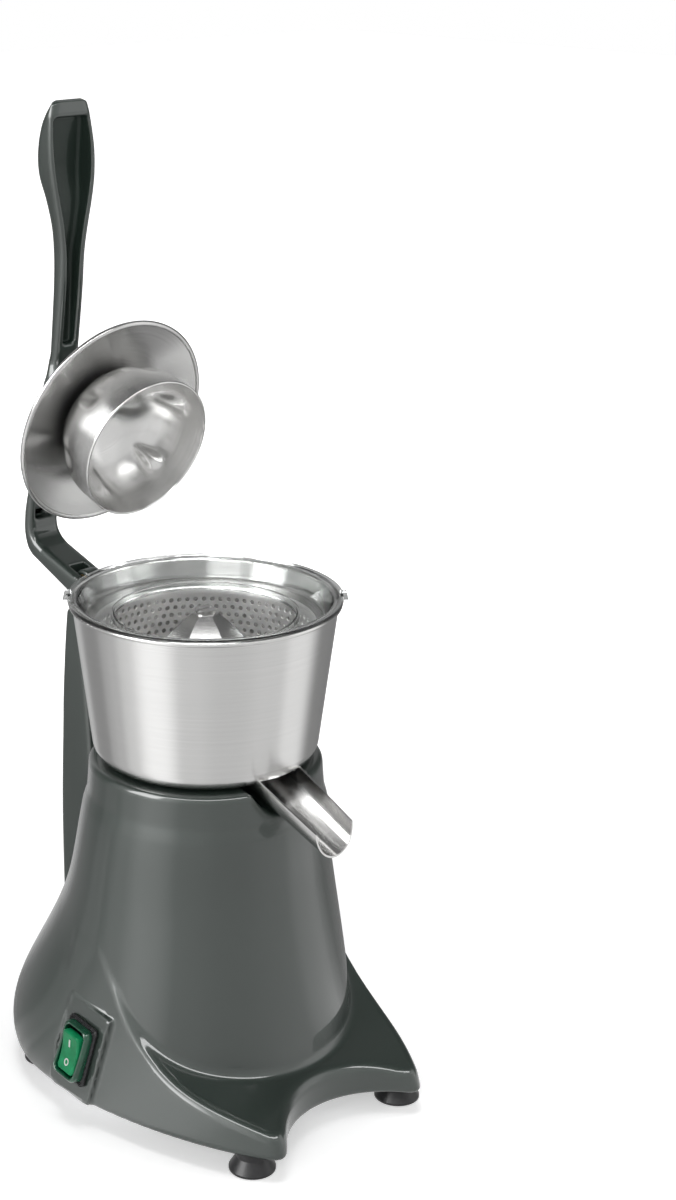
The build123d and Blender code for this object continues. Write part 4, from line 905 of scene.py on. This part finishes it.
def setFloor():
    ground = {"half": 6.0, "drop": -0.0005, "near": 0.25, "far": 0.9, "nearLevel": 0.42, "rough": 0.6,
              "gloss": 0.2, "pale": (0.9, 0.9, 0.9), "mirrored": (0.25, 0.25, 0.25)}
    bm = bmesh.new()
    bmesh.ops.create_grid(bm, x_segments=1, y_segments=1, size=ground["half"])
    bmesh.ops.translate(bm, verts=bm.verts, vec=(0, 0, ground["drop"]))
    mesh = bpy.data.meshes.new("floor")
    bm.to_mesh(mesh)
    bm.free()
    floor = linkObject("floor", mesh)
    pale = newMaterial("paleFloor", {"Roughness": ground["rough"], "Specular IOR Level": ground["gloss"],
                                     "Emission Color": (1, 1, 1, 1)})
    shader = shaderOf(pale)
    place = objectPlace(pale)
    rays = addNode(pale, "ShaderNodeLightPath").outputs
    color = mixColors(pale, rays["Is Glossy Ray"], ground["pale"], ground["mirrored"])
    link(pale, color, shader.inputs["Base Color"])
    away = vectorMath(pale, "LENGTH", place)
    white = rampOf(pale, away, ground["nearLevel"], 1.0, ground["near"], ground["far"])
    glow = panelGlow(pale, levelWay(pale, place), studio["onFloor"])
    shown = mixValues(pale, rays["Is Glossy Ray"], 0.0, glow)
    link(pale, mixValues(pale, rays["Is Camera Ray"], shown, white), shader.inputs["Emission Strength"])
    mesh.materials.append(pale)


def setWorld():
    world = bpy.data.worlds.new("studio")
    bpy.context.scene.world = world
    world.use_nodes = True
    back = world.node_tree.nodes["Background"]
    back.inputs["Color"].default_value = (1, 1, 1, 1)
    place = addNode(world, "ShaderNodeTexCoord").outputs["Generated"]
    split = addNode(world, "ShaderNodeSeparateXYZ")
    link(world, place, split.inputs["Vector"])
    way, rise = levelWay(world, place), split.outputs["Z"]
    high = rampOf(world, rise, 0.0, 1.0, studio["ceilingFrom"], studio["ceilingTo"])
    walls = mixValues(world, high, panelGlow(world, way, 1.0), studio["ceiling"])
    mirrored = joinValues(world, "ADD", walls, boxGlow(world, way, rise))
    rays = addNode(world, "ShaderNodeLightPath").outputs
    through = joinValues(world, "MAXIMUM", rays["Is Glossy Ray"], rays["Is Transmission Ray"])
    lit = mixValues(world, through, studio["diffuse"], mirrored)
    link(world, mixValues(world, rays["Is Camera Ray"], lit, 1.0), back.inputs["Strength"])


def aimed(made, place, aim):
    made.location = place
    made.rotation_euler = (Vector(aim) - Vector(place)).to_track_quat("-Z", "Y").to_euler()


def setCamera():
    view = {"place": (-0.795, -0.9031, 0.6984), "aim": (0, 0, 0.3), "sensor": 36, "lens": 66.81,
            "shift": (0.1104, -0.0057)}
    camera = bpy.data.cameras.new("camera")
    camera.sensor_width = view["sensor"]
    camera.lens = view["lens"]
    camera.shift_x, camera.shift_y = view["shift"]
    made = linkObject("camera", camera)
    aimed(made, view["place"], view["aim"])
    bpy.context.scene.camera = made


def setLamps():
    lamps = {"frontBox": {"place": (-2.0, -1.2, 1.15), "aim": (0, 0, 0.25), "size": (1.3, 1.8), "power": 20},
             "rightBox": {"place": (1.5, -1.7, 1.1), "aim": (0, 0, 0.25), "size": (0.7, 1.6), "power": 9},
             "overhead": {"place": (0.1, 0.2, 2.3), "aim": (0, 0, 0.2), "size": (0.9, 0.9), "power": 20}}
    for name, lamp in lamps.items():
        light = bpy.data.lights.new(name, "AREA")
        light.shape = "RECTANGLE"
        light.size, light.size_y = lamp["size"]
        light.energy = lamp["power"]
        made = linkObject(name, light)
        aimed(made, lamp["place"], lamp["aim"])
        made.visible_glossy = False


setFloor()
setWorld()
setCamera()
setLamps()
bpy.context.scene.view_settings.view_transform = "Standard"
